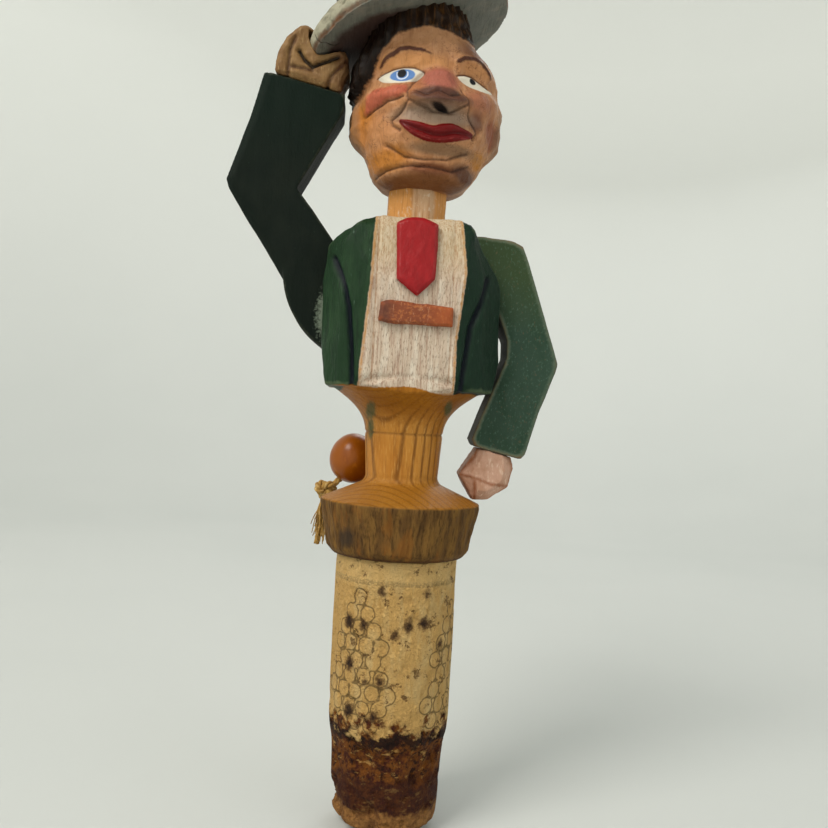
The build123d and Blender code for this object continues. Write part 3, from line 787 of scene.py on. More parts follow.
# ---- shirt trim: necktie and chest bar ----
class STOPPER_OT_trim(bpy.types.Operator):
    """Necktie and chest bar: two chips of wood, painted and glued on"""

    bl_idname = "stopper.trim"
    bl_label = "Necktie and bar"

    def tie_colour(self, tree):
        """Red oil paint with brush marks, pinkish where the edges are rubbed."""
        return layers(
            tree,
            "red",
            (((1.4, 1.4, 3.0), 0.45, 0.7), "#7c1418", 0.6),
            (((0.6, 0.6, 1.5), 0.6, 0.75, 3.0), "#b8383a", 0.5),
            (("worn", -0.3, 0.08, 0.14), "#c98a74", 0.5),
        )

    def bar_colour(self, tree):
        """Thin russet paint: darker at one end, the wood's orange in specks."""
        return layers(
            tree,
            "bar",
            (((0.5, 0.5, 0.5), 0.5, 0.66, 2.0, 6.0), "#b9713f", 0.7),
            (((0.4, 0.4, 1.2), 0.58, 0.7, 6.0), "#d3a07a", 0.5),
            (("dark_end", 0.0, 0.7, 0.8), "#5f382c", 0.85),
            (("warm_end", 0.0, 1.5, 0.8), "#a8552a", 0.6),
            (("worn", -0.2, 0.1, 0.1), "#a8552a", 0.5),
        )

    def grain(self, tree):
        """Brush marks."""
        return mottle(tree, (0.4, 0.4, 2.0))

    def execute(self, context):
        pieces = (
            ("necktie", "painted_necktie", "red_oil_paint", self.tie_colour, "red_paint", 0.35),
            ("chest_bar", "stained_chest_bar", "thin_russet_paint", self.bar_colour, "russet_paint", 0.55),
        )
        for node, name, material_name, paint, slot, roughness in pieces:
            carving = Carving(node, 0.16)
            x, _, z = carving.points.T
            marks = {"worn": -carving.ridge(), "dark_end": x + 3.9, "warm_end": 3.0 - x}
            if node == "necktie":
                # The tie's upper part leans back on the coat, and its top is an arch that reaches the neck.
                carving.points[:, 1] += 0.17 * np.clip(z - 46.0, 0, None)
                arch = 2.0 - 1.1 * ((x - x.mean()) / np.ptp(x) * 2) ** 2
                carving.points[:, 2] += arch * smooth_step(z, 48.0, 55.5)
            carving.push(0.07 * ripple(carving.points, 2.0, 31))
            piece = build_mesh(name, carving.points, carving.faces, marks)
            # Oil paint on a chip of wood: a soft gloss broken by brush marks.
            dress(piece, finish(material_name, paint, roughness, self.grain, 0.08), slot, FIGURE, node)
        return {"FINISHED"}


# ---- sleeves ----
# The rubbed place on the raised sleeve by the shoulder: its middle and its half sizes.
RUB = ((-15.2, 40.6), (0.9, 3.0))


class STOPPER_OT_sleeves(bpy.types.Operator):
    """Sleeves: two flat arms sawn from board, their edges cut back and painted"""

    bl_idname = "stopper.sleeves"
    bl_label = "Sleeves"

    def raised_colour(self, tree):
        """Near-black green satin paint, with pale lines on its edges and a rubbed place by the shoulder."""
        return layers(
            tree,
            "raised_sleeve",
            (((4.0, 4.0, 7.0), 0.45, 0.65), "#151c15", 0.8),
            (("cuff", 0.0, 6.0, 2.0), "#0a1a12", 0.8),
            (((0.5, 0.5, 1.0), 0.66, 0.75, 4.0), "#3a483c", 0.35),
            (("saw_edge", 0.0, 0.2, 0.3), "#070a07", 0.7),
            # Pale lines on the edges: wear, and also a painted highlight along the edges.
            (("worn", -0.3, 0.06, 0.1), "#4a4c3e", 0.6),
            (("rub", 0.0, 0.5, 1.6, 0.4), "#93a18c", 0.6),
        )

    def hip_colour(self, tree):
        """Faded green paint, speckled and warm at the top, brown along the worn edges."""
        return layers(
            tree,
            "hip_sleeve",
            (((3.0, 3.0, 6.0), 0.45, 0.65), "#2a4030", 0.7),
            (("shoulder", 0.0, 5.0, 3.0, 4.0), "#3c4a2b", 0.7),
            (((0.35, 0.35, 0.6), 0.56, 0.68, 4.0, 5.0), "#56705e", 0.5),
            (((0.4, 0.4, 0.7), 0.6, 0.7, 9.0, 5.0), "#6b5a45", 0.45),
            (("worn", -0.18, 0.08, 0.08), "#6e7a66", 0.7),
            (("worn", -0.3, 0.1, 0.12), "#7a4f30", 0.7),
            (("saw_edge", 0.0, 0.2, 0.3), "#3e2c1c", 0.6),
        )

    def paint_relief(self, tree):
        """Wood grain and dust under the paint."""
        fine = mottle(tree, (0.35, 0.35, 0.8), detail=5.0)
        return add(tree, "ShaderNodeMath", {0: fine, 1: mottle(tree, (0.6, 0.6, 7.0))}, operation="ADD")

    def execute(self, context):
        pieces = (
            ("raised_sleeve", "dark_green_satin_paint", self.raised_colour, 0.62, ARM),
            ("hip_sleeve", "faded_green_paint", self.hip_colour, 0.6, FIGURE),
        )
        for node, material_name, paint, roughness, body in pieces:
            carving = Carving(node, sizes().carving_step)
            x, y, z = carving.points.T
            marks = {
                "worn": -carving.ridge(),
                "cuff": 70.0 - z,
                "shoulder": 44.0 - z,
                "saw_edge": np.where(np.abs(carving.normals[:, 1]) < 0.3, -1.0, 1.0) + (z - 40) * 0.03,
                "rub": oval(x, z, *RUB) + FAR * (y > -1),
            }
            carving.push(0.5 * sizes().knife_ripple * (ripple(carving.points, (5.0, 5.0, 9.0), 41) - 1))
            piece = build_mesh(node + "_painted", carving.points, carving.faces, marks)
            # Thin oil paint on board: satin, with the edges rubbed back to undercoat and wood.
            material = finish(material_name, paint, roughness, self.paint_relief, 0.07, gloss=0.1)
            dress(piece, material, "sleeve_green", body, node)
        return {"FINISHED"}


# ---- hands ----
HIP_HAND_RIDGES = (
    ((9.9, 14.4), (12.6, 13.9), (15.6, 12.9), (18.8, 12.7)),
    ((12.6, 13.9), (12.9, 10.2)),
    ((18.8, 12.7), (19.3, 16.0), (18.9, 17.8)),
    ((9.9, 14.4), (12.5, 17.6), (13.0, 19.2)),
    ((12.6, 9.8), (15.4, 10.0), (18.8, 12.7)),
    ((9.9, 14.4), (12.6, 9.9)),
)
RAISED_HAND_CUTS = (
    ((-22.4, 87.4), (-23.2, 85.2), (-23.4, 81.2)),
    ((-23.2, 82.6), (-19.2, 82.0)),
    ((-16.6, 79.2), (-15.8, 81.5), (-13.4, 84.0)),
)
# The cut that takes the brim, as seen on the raised hand's front.
GRIP = ((-21.6, 85.2), (-20.5, 83.6), (-19.2, 82.6), (-17.4, 83.5), (-15.0, 84.6))


class STOPPER_OT_hands(bpy.types.Operator):
    """Hands: two small blocks cut in facets"""

    bl_idname = "stopper.hands"
    bl_label = "Hands"

    def hip_colour(self, tree):
        """Pinkish cream stain, orange-brown where it gathers in the cuts."""
        return layers(
            tree,
            "hip_hand",
            (((1.6, 1.6, 2.5), 0.45, 0.65), "#ad7f63", 0.7),
            (((0.5, 0.5, 1.6), 0.55, 0.68, 4.0), "#dcc0aa", 0.7),
            (("cuts", 0.22, 0.25, 0.2, 0.6), "#87481e", 0.85),
            (("worn", -0.3, 0.15, 0.1), "#8f5630", 0.35),
        )

    def raised_colour(self, tree):
        """Bare tan wood gone grey-brown with handling, with dark lines in the cuts, painted shade on one side
        and near-black painted shade in the notch that takes the brim.
        """
        return layers(
            tree,
            "#8a6a42",
            (((1.8, 1.8, 3.0), 0.42, 0.62), "#6b4a2a", 0.75),
            (((0.45, 0.45, 2.0), 0.56, 0.7, 4.0), "#b39668", 0.6),
            (("cuts", 0.22, 0.25, 0.3, 0.6), "#3c2012", 0.85),
            (("shade_side", 0.0, 1.5, 1.5), "#5a3220", 0.6),
            # Painted shade: the notch where the brim sits is near-black.
            (("grip", 0.32, 0.15, 0.2, 0.5), "#0e0805", 0.92),
        )

    def grain(self, tree):
        """Grain and knife marks."""
        return mottle(tree, (0.35, 0.35, 1.6), detail=5.0)

    def execute(self, context):
        pieces = (
            ("hip_hand", "pink_stained_wood", self.hip_colour, HIP_HAND_RIDGES, FIGURE, 0.0),
            ("raised_hand", "handled_bare_wood", self.raised_colour, RAISED_HAND_CUTS, ARM, 0.45),
        )
        for node, material_name, paint, lines, body, depth in pieces:
            carving = Carving(node, 0.2)
            x, y, z = carving.points.T
            if node == "raised_hand":
                # The thumb's side of the hand is lower than the fingers' side.
                z = z - 2.2 * smooth_step(x, -21.0, -18.0) * smooth_step(z, 80.5, 86.0)
                carving.points = np.stack([x, y, z], -1)
            grip = line_distance(x, z, GRIP) + FAR * (y > -1) + FAR * (node == "hip_hand")
            cuts = nearest_line(x, z, lines) + FAR * (y > 1.5)
            marks = {"cuts": cuts, "worn": -carving.ridge(), "shade_side": -15.0 - x, "grip": grip}
            knife = 0.8 * sizes().knife_ripple * ripple(carving.points, 2.4, 51)
            carving.push(knife - depth * bulge(cuts, 0.35) - 0.8 * bulge(grip, 0.4))
            piece = build_mesh(node + "_carved", carving.points, carving.faces, marks)
            # Stained wood: a dull sheen on flat knife cuts.
            dress(piece, finish(material_name, paint, 0.5, self.grain, 0.1), "hand_wood", body, node)
        return {"FINISHED"}


# ---- neck and head ----
# Sections of the head: height, half width, half depth, middle depth and middle across.
HEAD_SECTIONS = (
    (62.6, 5.4, 5.5, -0.4, 0.4), (63.3, 7.3, 7.3, -0.5, 0.4), (64.8, 8.7, 8.7, -0.6, 0.5),
    (66.8, 9.7, 9.8, -0.6, 0.7), (69.0, 10.6, 10.9, -0.5, 0.9), (72.0, 11.3, 11.6, -0.3, 1.0),
    (75.5, 11.7, 12.1, -0.1, 1.1), (79.0, 12.0, 12.2, 0.0, 1.3), (83.0, 11.4, 12.0, 0.2, 0.8),
    (85.6, 10.2, 11.6, 0.3, -0.1), (87.6, 9.4, 11.2, 0.3, -0.8), (91.0, 8.6, 10.5, 0.4, -1.4),
    (97.0, 7.6, 9.2, 0.6, -1.8),
)
HEAD_X = 0.4
# The ears' middle and half sizes as (y, z), how far each stands out, and how far off the middle they start.
EAR_MIDDLE, EAR_SIZE = (-0.4, 73.6), (2.7, 4.5)
EARS_OUT = (2.5, 1.8)
EARS_FROM = 8
FACE_TURN = 9.0
# The hairline: degrees round from the middle of the face, and height.
HAIRLINE = (
    (-180, 66.5), (-150, 69.0), (-136, 76.0), (-118, 77.6), (-84, 78.4), (-64, 79.6), (-51, 84.0),
    (-40, 85.7), (-28, 86.9), (-6, 88.0), (14, 87.3), (28, 86.9), (42, 87.1), (62, 87.8), (84, 86.8),
    (100, 80.0), (118, 77.6), (136, 76.0), (150, 69.0), (180, 66.5),
)
LEFT_EYE = (
    (-8.3, 79.8), (-6.0, 80.6), (-4.0, 80.8), (-2.1, 80.6), (-0.7, 79.9), (-1.5, 78.8), (-3.2, 78.3),
    (-5.2, 78.2), (-7.2, 78.6),
)
RIGHT_EYE = (
    (5.1, 79.7), (6.4, 80.2), (7.9, 80.2), (9.5, 79.6), (11.5, 78.7), (10.0, 78.2), (8.3, 78.3), (6.6, 78.7),
)
LEFT_LID = ((-8.5, 79.7), (-6.2, 80.65), (-4.2, 80.9), (-2.2, 80.7), (-0.6, 80.0))
RIGHT_LID = ((4.9, 79.9), (6.4, 80.35), (8.0, 80.35), (9.6, 79.8), (10.9, 79.2))
LEFT_BROW = ((-7.8, 81.3), (-6.4, 82.7), (-4.6, 83.7), (-3.0, 83.8), (-1.2, 83.5), (0.5, 83.0))
RIGHT_BROW = ((4.9, 82.2), (5.8, 82.9), (7.4, 83.3), (8.8, 83.0), (10.0, 82.0), (10.8, 81.0))
LIPS = (
    (-4.3, 72.1), (-2.1, 71.9), (-0.1, 71.5), (1.3, 71.2), (2.7, 71.6), (4.4, 71.8), (6.2, 71.4), (8.6, 70.7),
    (7.1, 69.9), (5.1, 69.2), (3.2, 68.8), (1.5, 68.7), (0.0, 68.9), (-1.9, 69.7), (-3.4, 70.9),
)
MOUTH = (
    (-4.4, 72.0), (-2.0, 70.9), (-0.1, 70.2), (1.4, 69.8), (2.9, 69.9), (4.6, 70.4), (6.5, 70.6), (8.6, 70.6),
)
CREASES = (
    ((-0.6, 79.8), (-2.4, 78.1), (-3.1, 76.6), (-2.6, 75.0),
     (-4.1, 73.3), (-5.5, 72.1), (-5.2, 71.3), (-4.0, 70.6)),
    ((5.6, 77.2), (6.4, 75.1), (7.3, 73.0), (8.8, 71.3), (8.2, 70.2)),
    ((-2.6, 75.0), (-1.3, 74.3), (0.2, 73.9), (1.2, 73.5), (3.6, 73.4), (5.2, 74.2), (6.4, 75.0)),
    ((-8.2, 64.0), (-5.8, 64.8), (-2.1, 65.3), (1.8, 65.2), (5.1, 64.9), (8.4, 66.4)),
    ((-6.2, 68.4), (-3.1, 66.7), (0.3, 66.3), (4.2, 66.6), (7.7, 68.0)),
    ((-9.7, 73.9), (-7.8, 74.7), (-6.1, 75.2), (-3.6, 75.7)),
    ((-1.6, 76.4), (0.2, 75.4), (1.6, 76.2), (3.2, 75.4), (5.0, 76.2)),
)
LEFT_CHEEK = (
    (-9.7, 74.2), (-9.4, 75.8), (-8.7, 77.5), (-6.2, 77.7), (-3.5, 77.7), (-3.2, 76.7), (-3.9, 75.9),
    (-6.1, 75.4), (-7.8, 74.8),
)
# Washes on the face: stain, darker brown under the nose, and painted shade in the right cheek's crease, under
# the lower lip and under the chin. Each has middle, size, colour, softness and strength.
WASHES = {
    "wash_forehead": ((1.0, 86.0), (9.5, 2.9), "#a87c58", 1.2, 0.65),
    "wash_temple": ((8.2, 85.0), (2.8, 1.6), "#6a4332", 0.9, 0.8),
    "wash_brow_light": ((-3.0, 81.8), (6.0, 1.3), "#c98d55", 0.8, 0.75),
    "wash_brow_right": ((8.0, 81.6), (3.0, 1.0), "#bd8350", 0.8, 0.6),
    "wash_jaw_side": ((-10.6, 72.8), (2.0, 4.0), "#b97328", 0.7, 0.85),
    "wash_jaw_low": ((-5.6, 66.6), (3.4, 1.9), "#bb772c", 0.8, 0.85),
    "wash_jaw_light": ((-7.4, 70.6), (2.6, 2.6), "#bf8454", 0.9, 0.75),
    "wash_jaw_right": ((10.7, 67.6), (2.2, 1.4), "#b97a30", 0.5, 0.85),
    "wash_cheek_right": ((8.6, 76.3), (2.4, 1.9), "#9f634a", 0.9, 0.85),
    "wash_shade_right": ((8.4, 72.9), (1.2, 1.5), "#5b2f2a", 0.8, 0.75),
    "wash_red_right": ((11.9, 72.6), (1.6, 2.2), "#7e3a28", 0.7, 0.75),
    "wash_muzzle": ((1.4, 72.9), (6.4, 1.7), "#927f6e", 0.6, 0.85),
    "wash_nose": ((1.9, 78.5), (3.3, 2.2), "#a35a4e", 0.6, 0.85),
    "wash_nose_side": ((-1.9, 77.4), (1.5, 1.6), "#a3653f", 0.8, 0.7),
    "wash_nose_under": ((2.0, 75.6), (4.5, 1.35), "#4c2d27", 0.5, 0.9),
    "wash_lip_shade": ((3.4, 68.0), (6.0, 0.9), "#83654a", 0.6, 0.8),
    "wash_chin_red": ((1.6, 64.9), (4.2, 1.0), "#6f3c22", 0.7, 0.85),
    # Painted shade under the chin.
    "wash_chin": ((0.6, 62.8), (8.5, 1.5), "#6b3e1c", 0.6, 0.8),
    "wash_chin_dark": ((7.4, 65.0), (2.3, 1.3), "#4a2a22", 0.7, 0.85),
}


def head_colour(tree):
    """Stained limewood: washes of brown and rose that pool in the cuts, some of them painted shade, with
    painted eyes, lips and hair; the hair's left is in painted shade and the lower lip has a painted
    highlight.
    """
    grain = mottle(tree, (0.4, 0.4, 5.0), 0.5, 0.68, detail=5.0)
    bare = layers(
        tree,
        "skin",
        (((2.6, 2.6, 3.4), 0.44, 0.64, 3.0), "#a06c44", 0.7),
        (((1.2, 1.2, 2.2), 0.52, 0.68, 6.0), "#cf9f78", 0.6),
    )
    # Stain lies in scratches: thin wandering lines where a noise passes through its middle value.
    drift = mottle(tree, (2.4, 2.4, 1.6), seed=11.0)
    middle = add(tree, "ShaderNodeMath", {0: drift, 1: 0.5}, operation="SUBTRACT")
    line = add(tree, "ShaderNodeMath", {0: middle}, operation="ABSOLUTE")
    thin = add(tree, "ShaderNodeMapRange", {0: line, 1: 0.014, 2: 0.004})
    some = mottle(tree, (3.0, 3.0, 3.0), 0.46, 0.56, 15.0)
    scored = add(tree, "ShaderNodeMath", {0: thin, 1: some}, operation="MULTIPLY")
    washes = [
        ((name, 0.0, soft, 0.25, 1.2), shade, strength)
        for name, (_, _, shade, soft, strength) in WASHES.items()
    ]
    face = layers(
        tree,
        bare,
        *washes,
        (("cheek", 0.0, 0.25, 0.35), "#b85c46", 0.85),
        (grain, "#6b4028", 0.3),
        (("ear", 0.0, 0.15, 0.2), "#80634a", 0.6),
        (("dark_ear", 0.0, 0.4, 0.7), "#3a2f26", 0.4),
        (scored, "#4a2414", 0.55),
        (("crease", 0.13, 0.16, 0.12, 0.5), "#2e160d", 0.85),
        (("nostril", 0.0, 0.25, 0.15, 0.4), "#140d0c"),
    )
    eyes = layers(
        tree,
        face,
        (("eye", 0.0, 0.08, 0.06, 0.5), "#ddd6c4"),
        (("iris", 0.0, 0.06, 0.04, 0.4), "#5a82bc"),
        (("glint", 0.0, 0.06, 0.04, 0.4), "#d3dcec"),
        (("pupil", 0.0, 0.08, 0.03, 0.4), "#0b0d14"),
        (("lid", 0.13, 0.1, 0.05, 0.5), "#3d1a10", 0.85),
        (("brow", 0.42, 0.14, 0.2, 0.5), "#3a150e", 0.92),
    )
    lips = layers(
        tree,
        "#700c0c",
        (("mouth", 0.15, 0.4, 0.4), "#4a0808", 0.85),
        # Painted highlight: a paler red line along the lower lip.
        (("lower_lip_painted_highlight", 0.0, 0.12, 0.3), "#c4504a", 0.5),
    )
    hair = layers(
        tree,
        "hair",
        (((0.5, 0.5, 7.0), 0.5, 0.64, 5.0), "#5a3a16", 0.8),
        # Painted shade: the hair is near-black on its left, under the brim.
        (("hair_left_painted_shade", 0.0, 3.0, 2.0), "#120804", 0.85),
        (((0.3, 0.3, 5.0), 0.5, 0.7, 2.0), "#0e0603", 0.6),
    )
    painted = layers(tree, eyes, (("lips", 0.0, 0.08, 0.1), lips))
    return layers(tree, painted, (("hair", 0.0, 0.15, 0.3), hair))


def head_roughness(tree):
    """Stained wood has a dull sheen and the lips' oil paint a wet one."""
    blotch = mottle(tree, (1.2, 1.2, 2.0))
    sheen = add(tree, "ShaderNodeMapRange", {0: blotch, 1: 0.3, 2: 0.7, 3: 0.38, 4: 0.6})
    return add(tree, "ShaderNodeMix", {0: patch(tree, "lips"), 2: sheen, 3: 0.22})


def head_relief(tree):
    """Fine grain and scratches of the knife."""
    fine = mottle(tree, (0.3, 0.3, 2.5), detail=5.0)
    return add(tree, "ShaderNodeMath", {0: fine, 1: mottle(tree, (0.5, 0.5, 0.5))}, operation="ADD")


class STOPPER_OT_head(bpy.types.Operator):
    """Head and neck: a carved head on a whittled peg"""

    bl_idname = "stopper.head"
    bl_label = "Head and neck"

    def neck_colour(self, tree):
        """Whittled wood: one facet at the front painted paler than the rest, with scraped pale streaks."""
        return layers(
            tree,
            "#cf9250",
            (("pale_facet", 0.0, 0.3, 0.3), "#c8a684", 0.85),
            (((0.4, 0.4, 5.0), 0.5, 0.66), "#a0692f", 0.6),
            (((0.6, 0.6, 1.2), 0.58, 0.68, 5.0), "#dccab2", 0.55),
        )

    def neck(self):
        """The neck: a copy of its peg with knife ripples."""
        carving = Carving("neck_peg", 0.25)
        x, y, _ = carving.points.T
        carving.push(0.1 * ripple(carving.points, (2.5, 2.5, 9.0), 61))
        marks = {"pale_facet": np.abs(x - 0.9) - 1.9 + FAR * (y > 0)}
        piece = build_mesh("neck_whittled", carving.points, carving.faces, marks)
        material = finish("whittled_stained_wood", self.neck_colour, 0.5, head_relief, 0.1)
        dress(piece, material, "whittled_peg", FIGURE, "neck_peg")

    def top_plane(self, x, y):
        """Height of the head's top, cut off level with the underside of the hat's brim."""
        up = hat_axes()[2]
        under = HAT_MIDDLE @ up - BRIM_HALF - HAIR_GAP
        return (under - up[0] * x - up[1] * y) / up[2]

    def execute(self, context):
        self.neck()
        rows, around = 250, 344
        turn = np.linspace(0, 2 * np.pi, around, endpoint=False)
        table = curve_through(HEAD_SECTIONS, 300)
        low = HEAD_SECTIONS[0][0]
        top = self.top_plane(HEAD_X + 10.0 * np.cos(turn), 10.5 * np.sin(turn))
        share = np.linspace(0, 1, rows)[:, None] ** 0.9
        z = (low + share * (top - low)).ravel()
        wide, deep, middle, across = (np.interp(z, table[:, 0], column) for column in table[:, 1:].T)
        angle = np.broadcast_to(turn, (rows, around)).ravel()
        # A squarish oval: (x over its half width) to a power plus (y over its half depth) to it is 1.
        power = 2.35
        total = np.abs(np.cos(angle) / wide) ** power + np.abs(np.sin(angle) / deep) ** power
        reach = total ** (-1 / power)
        x, y = across + reach * np.cos(angle), middle + reach * np.sin(angle)
        front = smooth_step(-y, 1.0, 5.0)
        away = FAR * smooth_step(y, -3.0, 1.0)
        round_face = (np.degrees(angle) + 90 - FACE_TURN + 180) % 360 - 180
        hairline = np.interp(round_face, *np.array(HAIRLINE).T)
        lips = smooth_patch(x, z, LIPS, 60) + away
        eye_left = smooth_patch(x, z, LEFT_EYE)
        eye = np.minimum(eye_left, smooth_patch(x, z, RIGHT_EYE)) + away
        mouth = line_distance(x, z, MOUTH) + away
        crease = nearest_line(x, z, CREASES) + away
        brow_left = line_distance(x, z, LEFT_BROW) + 0.24 * ((x + 4.2) / 4.0) ** 2
        brow_right = line_distance(x, z, RIGHT_BROW) + 0.2 * ((x - 7.0) / 3.4) ** 2
        brow = np.minimum(brow_left, brow_right) + away
        lid = nearest_line(x, z, (LEFT_LID, RIGHT_LID)) + away
        nose_run = np.clip((80.4 - z) / 5.6, 0, 1)
        nose_wide = 1.7 + 2.1 * nose_run
        nose_ridge = np.exp(-(np.abs((x - 2.0) / nose_wide) ** 2.6)) * (0.3 + 0.7 * nose_run)
        nose_end = smooth_step(z, 73.6, 74.6) * smooth_step(-z, -81.6, -79.8)
        out = (
            sizes().nose_height * nose_ridge * nose_end
            + 0.9 * (hill(x, z, (-1.9, 75.4), (1.3, 1.1)) + hill(x, z, (5.9, 75.5), (1.3, 1.1)))
            - 1.0 * (hill(x, z, (-4.5, 79.6), (4.6, 2.0)) + hill(x, z, (8.4, 79.4), (3.8, 1.8)))
            + 0.35 * smooth_step(-eye, -0.1, 0.7)
            + 0.5 * bulge(brow - 0.1, 0.9)
            + 1.3 * hill(x, z, (-6.4, 76.6), (3.6, 1.7))
            + 1.1 * hill(x, z, (9.6, 76.2), (2.8, 1.9))
            + 0.7 * hill(x, z, (1.8, 71.8), (6.0, 3.0))
            + 0.45 * smooth_step(-lips, -0.15, 0.5)
            - 0.45 * bulge(mouth, 0.3) * (lips < 0.4)
            - 0.5 * hill(x, z, (2.2, 67.6), (5.5, 1.0))
            + 0.7 * hill(x, z, (1.0, 63.8), (6.5, 1.4))
            - 0.42 * bulge(crease, 0.32)
            - 0.22 * bulge(lid, 0.22)
        ) * front
        base = np.stack([x, y, z], -1)
        facets = -0.42 * np.abs(ripple(base, (3.2, 3.2, 4.0), 71, 2)) + 0.09 * ripple(base, 1.6, 73)
        ear = oval(y, z, EAR_MIDDLE, EAR_SIZE) + 1
        ears = np.exp(-(ear**4)) - 0.5 * hill(y, z, (-0.8, 74.4), (1.1, 2.4))
        beside = np.abs(x - HEAD_X) > EARS_FROM
        ears *= np.where(x < HEAD_X, *EARS_OUT) * beside
        side_hair = 1.7 * smooth_step(-x, 6, 10) * smooth_step(z - hairline, -0.3, 1.0)
        side_hair *= smooth_step(-z, -88, -83)
        locks = 0.25 * np.sin(angle * 34 + 2 * np.sin(z / 3)) * smooth_step(z - hairline, 0.0, 1.0)
        calm = smooth_step(np.minimum(eye, lips), -0.3, 0.8) * (1 - 0.6 * nose_ridge * nose_end)
        total = out + facets * calm + ears + side_hair + locks + 0.35 * smooth_step(z - hairline, -0.2, 0.3)
        total *= smooth_step(np.broadcast_to(share, (rows, around)), 0.0, 0.06).ravel()
        along = unit(np.stack([np.cos(angle) / wide**1.2, np.sin(angle) / deep**1.2], -1))
        base[:, :2] += along * total[:, None]
        points, faces = skin(base.reshape(rows, around, 3))
        iris = np.maximum(oval(x, z, (-4.2, 79.5), (2.1, 1.05)), np.where(x < 2, eye_left + 0.12, FAR))
        pupil_left = np.hypot(x + 4.4, z - 79.85) - 0.74
        pupil_right = np.hypot(x - 7.9, z - 79.55) - 0.6
        marks = {
            "eye": eye,
            "iris": iris + away,
            "glint": np.abs(np.hypot(x + 4.3, z - 79.75) - 0.92) - 0.12 + away + FAR * (z > 80.2),
            "pupil": np.maximum(np.minimum(pupil_left, pupil_right), eye + 0.02) + away,
            "lid": lid,
            "brow": brow,
            "lips": lips,
            "mouth": mouth,
            "lower_lip_painted_highlight": np.abs(mouth - 0.75) + 0.6 * (z > 70.6),
            "crease": crease,
            "cheek": smooth_patch(x, z, LEFT_CHEEK) + away,
            "nostril": np.hypot((x - 2.3) / 1.5, (z - 73.85 + 0.22 * (x - 2.3)) / 0.3) - 1 + away,
            "hair": hairline - z,
            "ear": ear - 1.05 + FAR * ~beside,
            "dark_ear": oval(y, z, (2.6, 72.6), (2.2, 4.0)) + FAR * ~beside,
            "hair_left_painted_shade": x + 2.5,
        }
        for name, (middle, size, *_) in WASHES.items():
            marks[name] = oval(x, z, middle, size) * 2 + away
        # The two points that close the skin: bare under the chin, and hair on top.
        for name, values in marks.items():
            marks[name] = np.append(values, [FAR, -FAR if name == "hair" else FAR])
        piece = build_mesh("head_carved", points, faces, marks)
        # Limewood under thin stain: the grain shows, and colour pools along the cuts.
        material = finish("stained_and_painted_limewood", head_colour, head_roughness, head_relief, 0.09)
        dress(piece, material, "tinted_face_wood", FIGURE, "head")
        return {"FINISHED"}


# ---- hat ----
HAT_MIDDLE = np.array((-2.9, 0.0, 91.6))
HAT_ROLL, HAT_PITCH = np.radians(18.4), np.radians(4.8)
BRIM_HALF = 1.6
# Where the brim is split, counted round from +X, and how far its underside stays off the hair.
SPLIT_DEGREES = 200.0
HAIR_GAP = 0.45


def hat_axes():
    """The hat's own axes: across the brim, back along it, and up the crown."""
    up = np.array(
        (-np.cos(HAT_PITCH) * np.sin(HAT_ROLL), np.sin(HAT_PITCH), np.cos(HAT_PITCH) * np.cos(HAT_ROLL))
    )
    across = np.array((np.cos(HAT_ROLL), 0.0, np.sin(HAT_ROLL)))
    return across, np.cross(up, across), up


def hat_colour(tree):
    """Grey-olive paint, streaked with the grain, worn to pale wood on the rim and brown on its lower edge,
    with painted shade on the underside next to the head.
    """
    streaks = mottle(tree, (0.6, 4.0, 0.6), 0.44, 0.64, detail=5.0)
    under = layers(
        tree,
        "hat",
        (streaks, "#5c5f55", 0.6),
        (((2.5, 2.5, 2.5), 0.5, 0.66, 3.0), "#857e70", 0.6),
        (((0.5, 0.5, 0.5), 0.64, 0.72, 5.0), "#20231f", 0.7),
    )
    rim = layers(
        tree,
        "#a9a48e",
        (((2.0, 2.0, 1.2), 0.45, 0.62, 6.0), "#888572", 0.7),
        (((0.8, 0.8, 0.8), 0.6, 0.7, 8.0), "#c4b89c", 0.7),
    )
    blotch = mottle(tree, (3.0, 3.0, 3.0), 0.5, 0.66)
    crown = layers(tree, "#6d6c5e", (streaks, "#55564b", 0.7), (blotch, "#82806f", 0.6))
    return layers(
        tree,
        under,
        # Painted shade: dark red-brown on the brim's underside next to the head, where the brim shades it.
        (("inside", 0.0, 1.0, 1.5, 2.0), "#38160f", 0.85),
        (("crown", 0.0, 0.3, 0.3), crown),
        (("band", 0.0, 0.1, 0.08), "#2c2620", 0.85),
        (("rim", 0.0, 0.25, 0.3), rim),
        (("rim_edge", 0.25, 0.35, 0.5, 1.2), "#7c4a26", 0.85),
        (("split", 0.14, 0.1, 0.1), "#100c08", 0.95),
    )


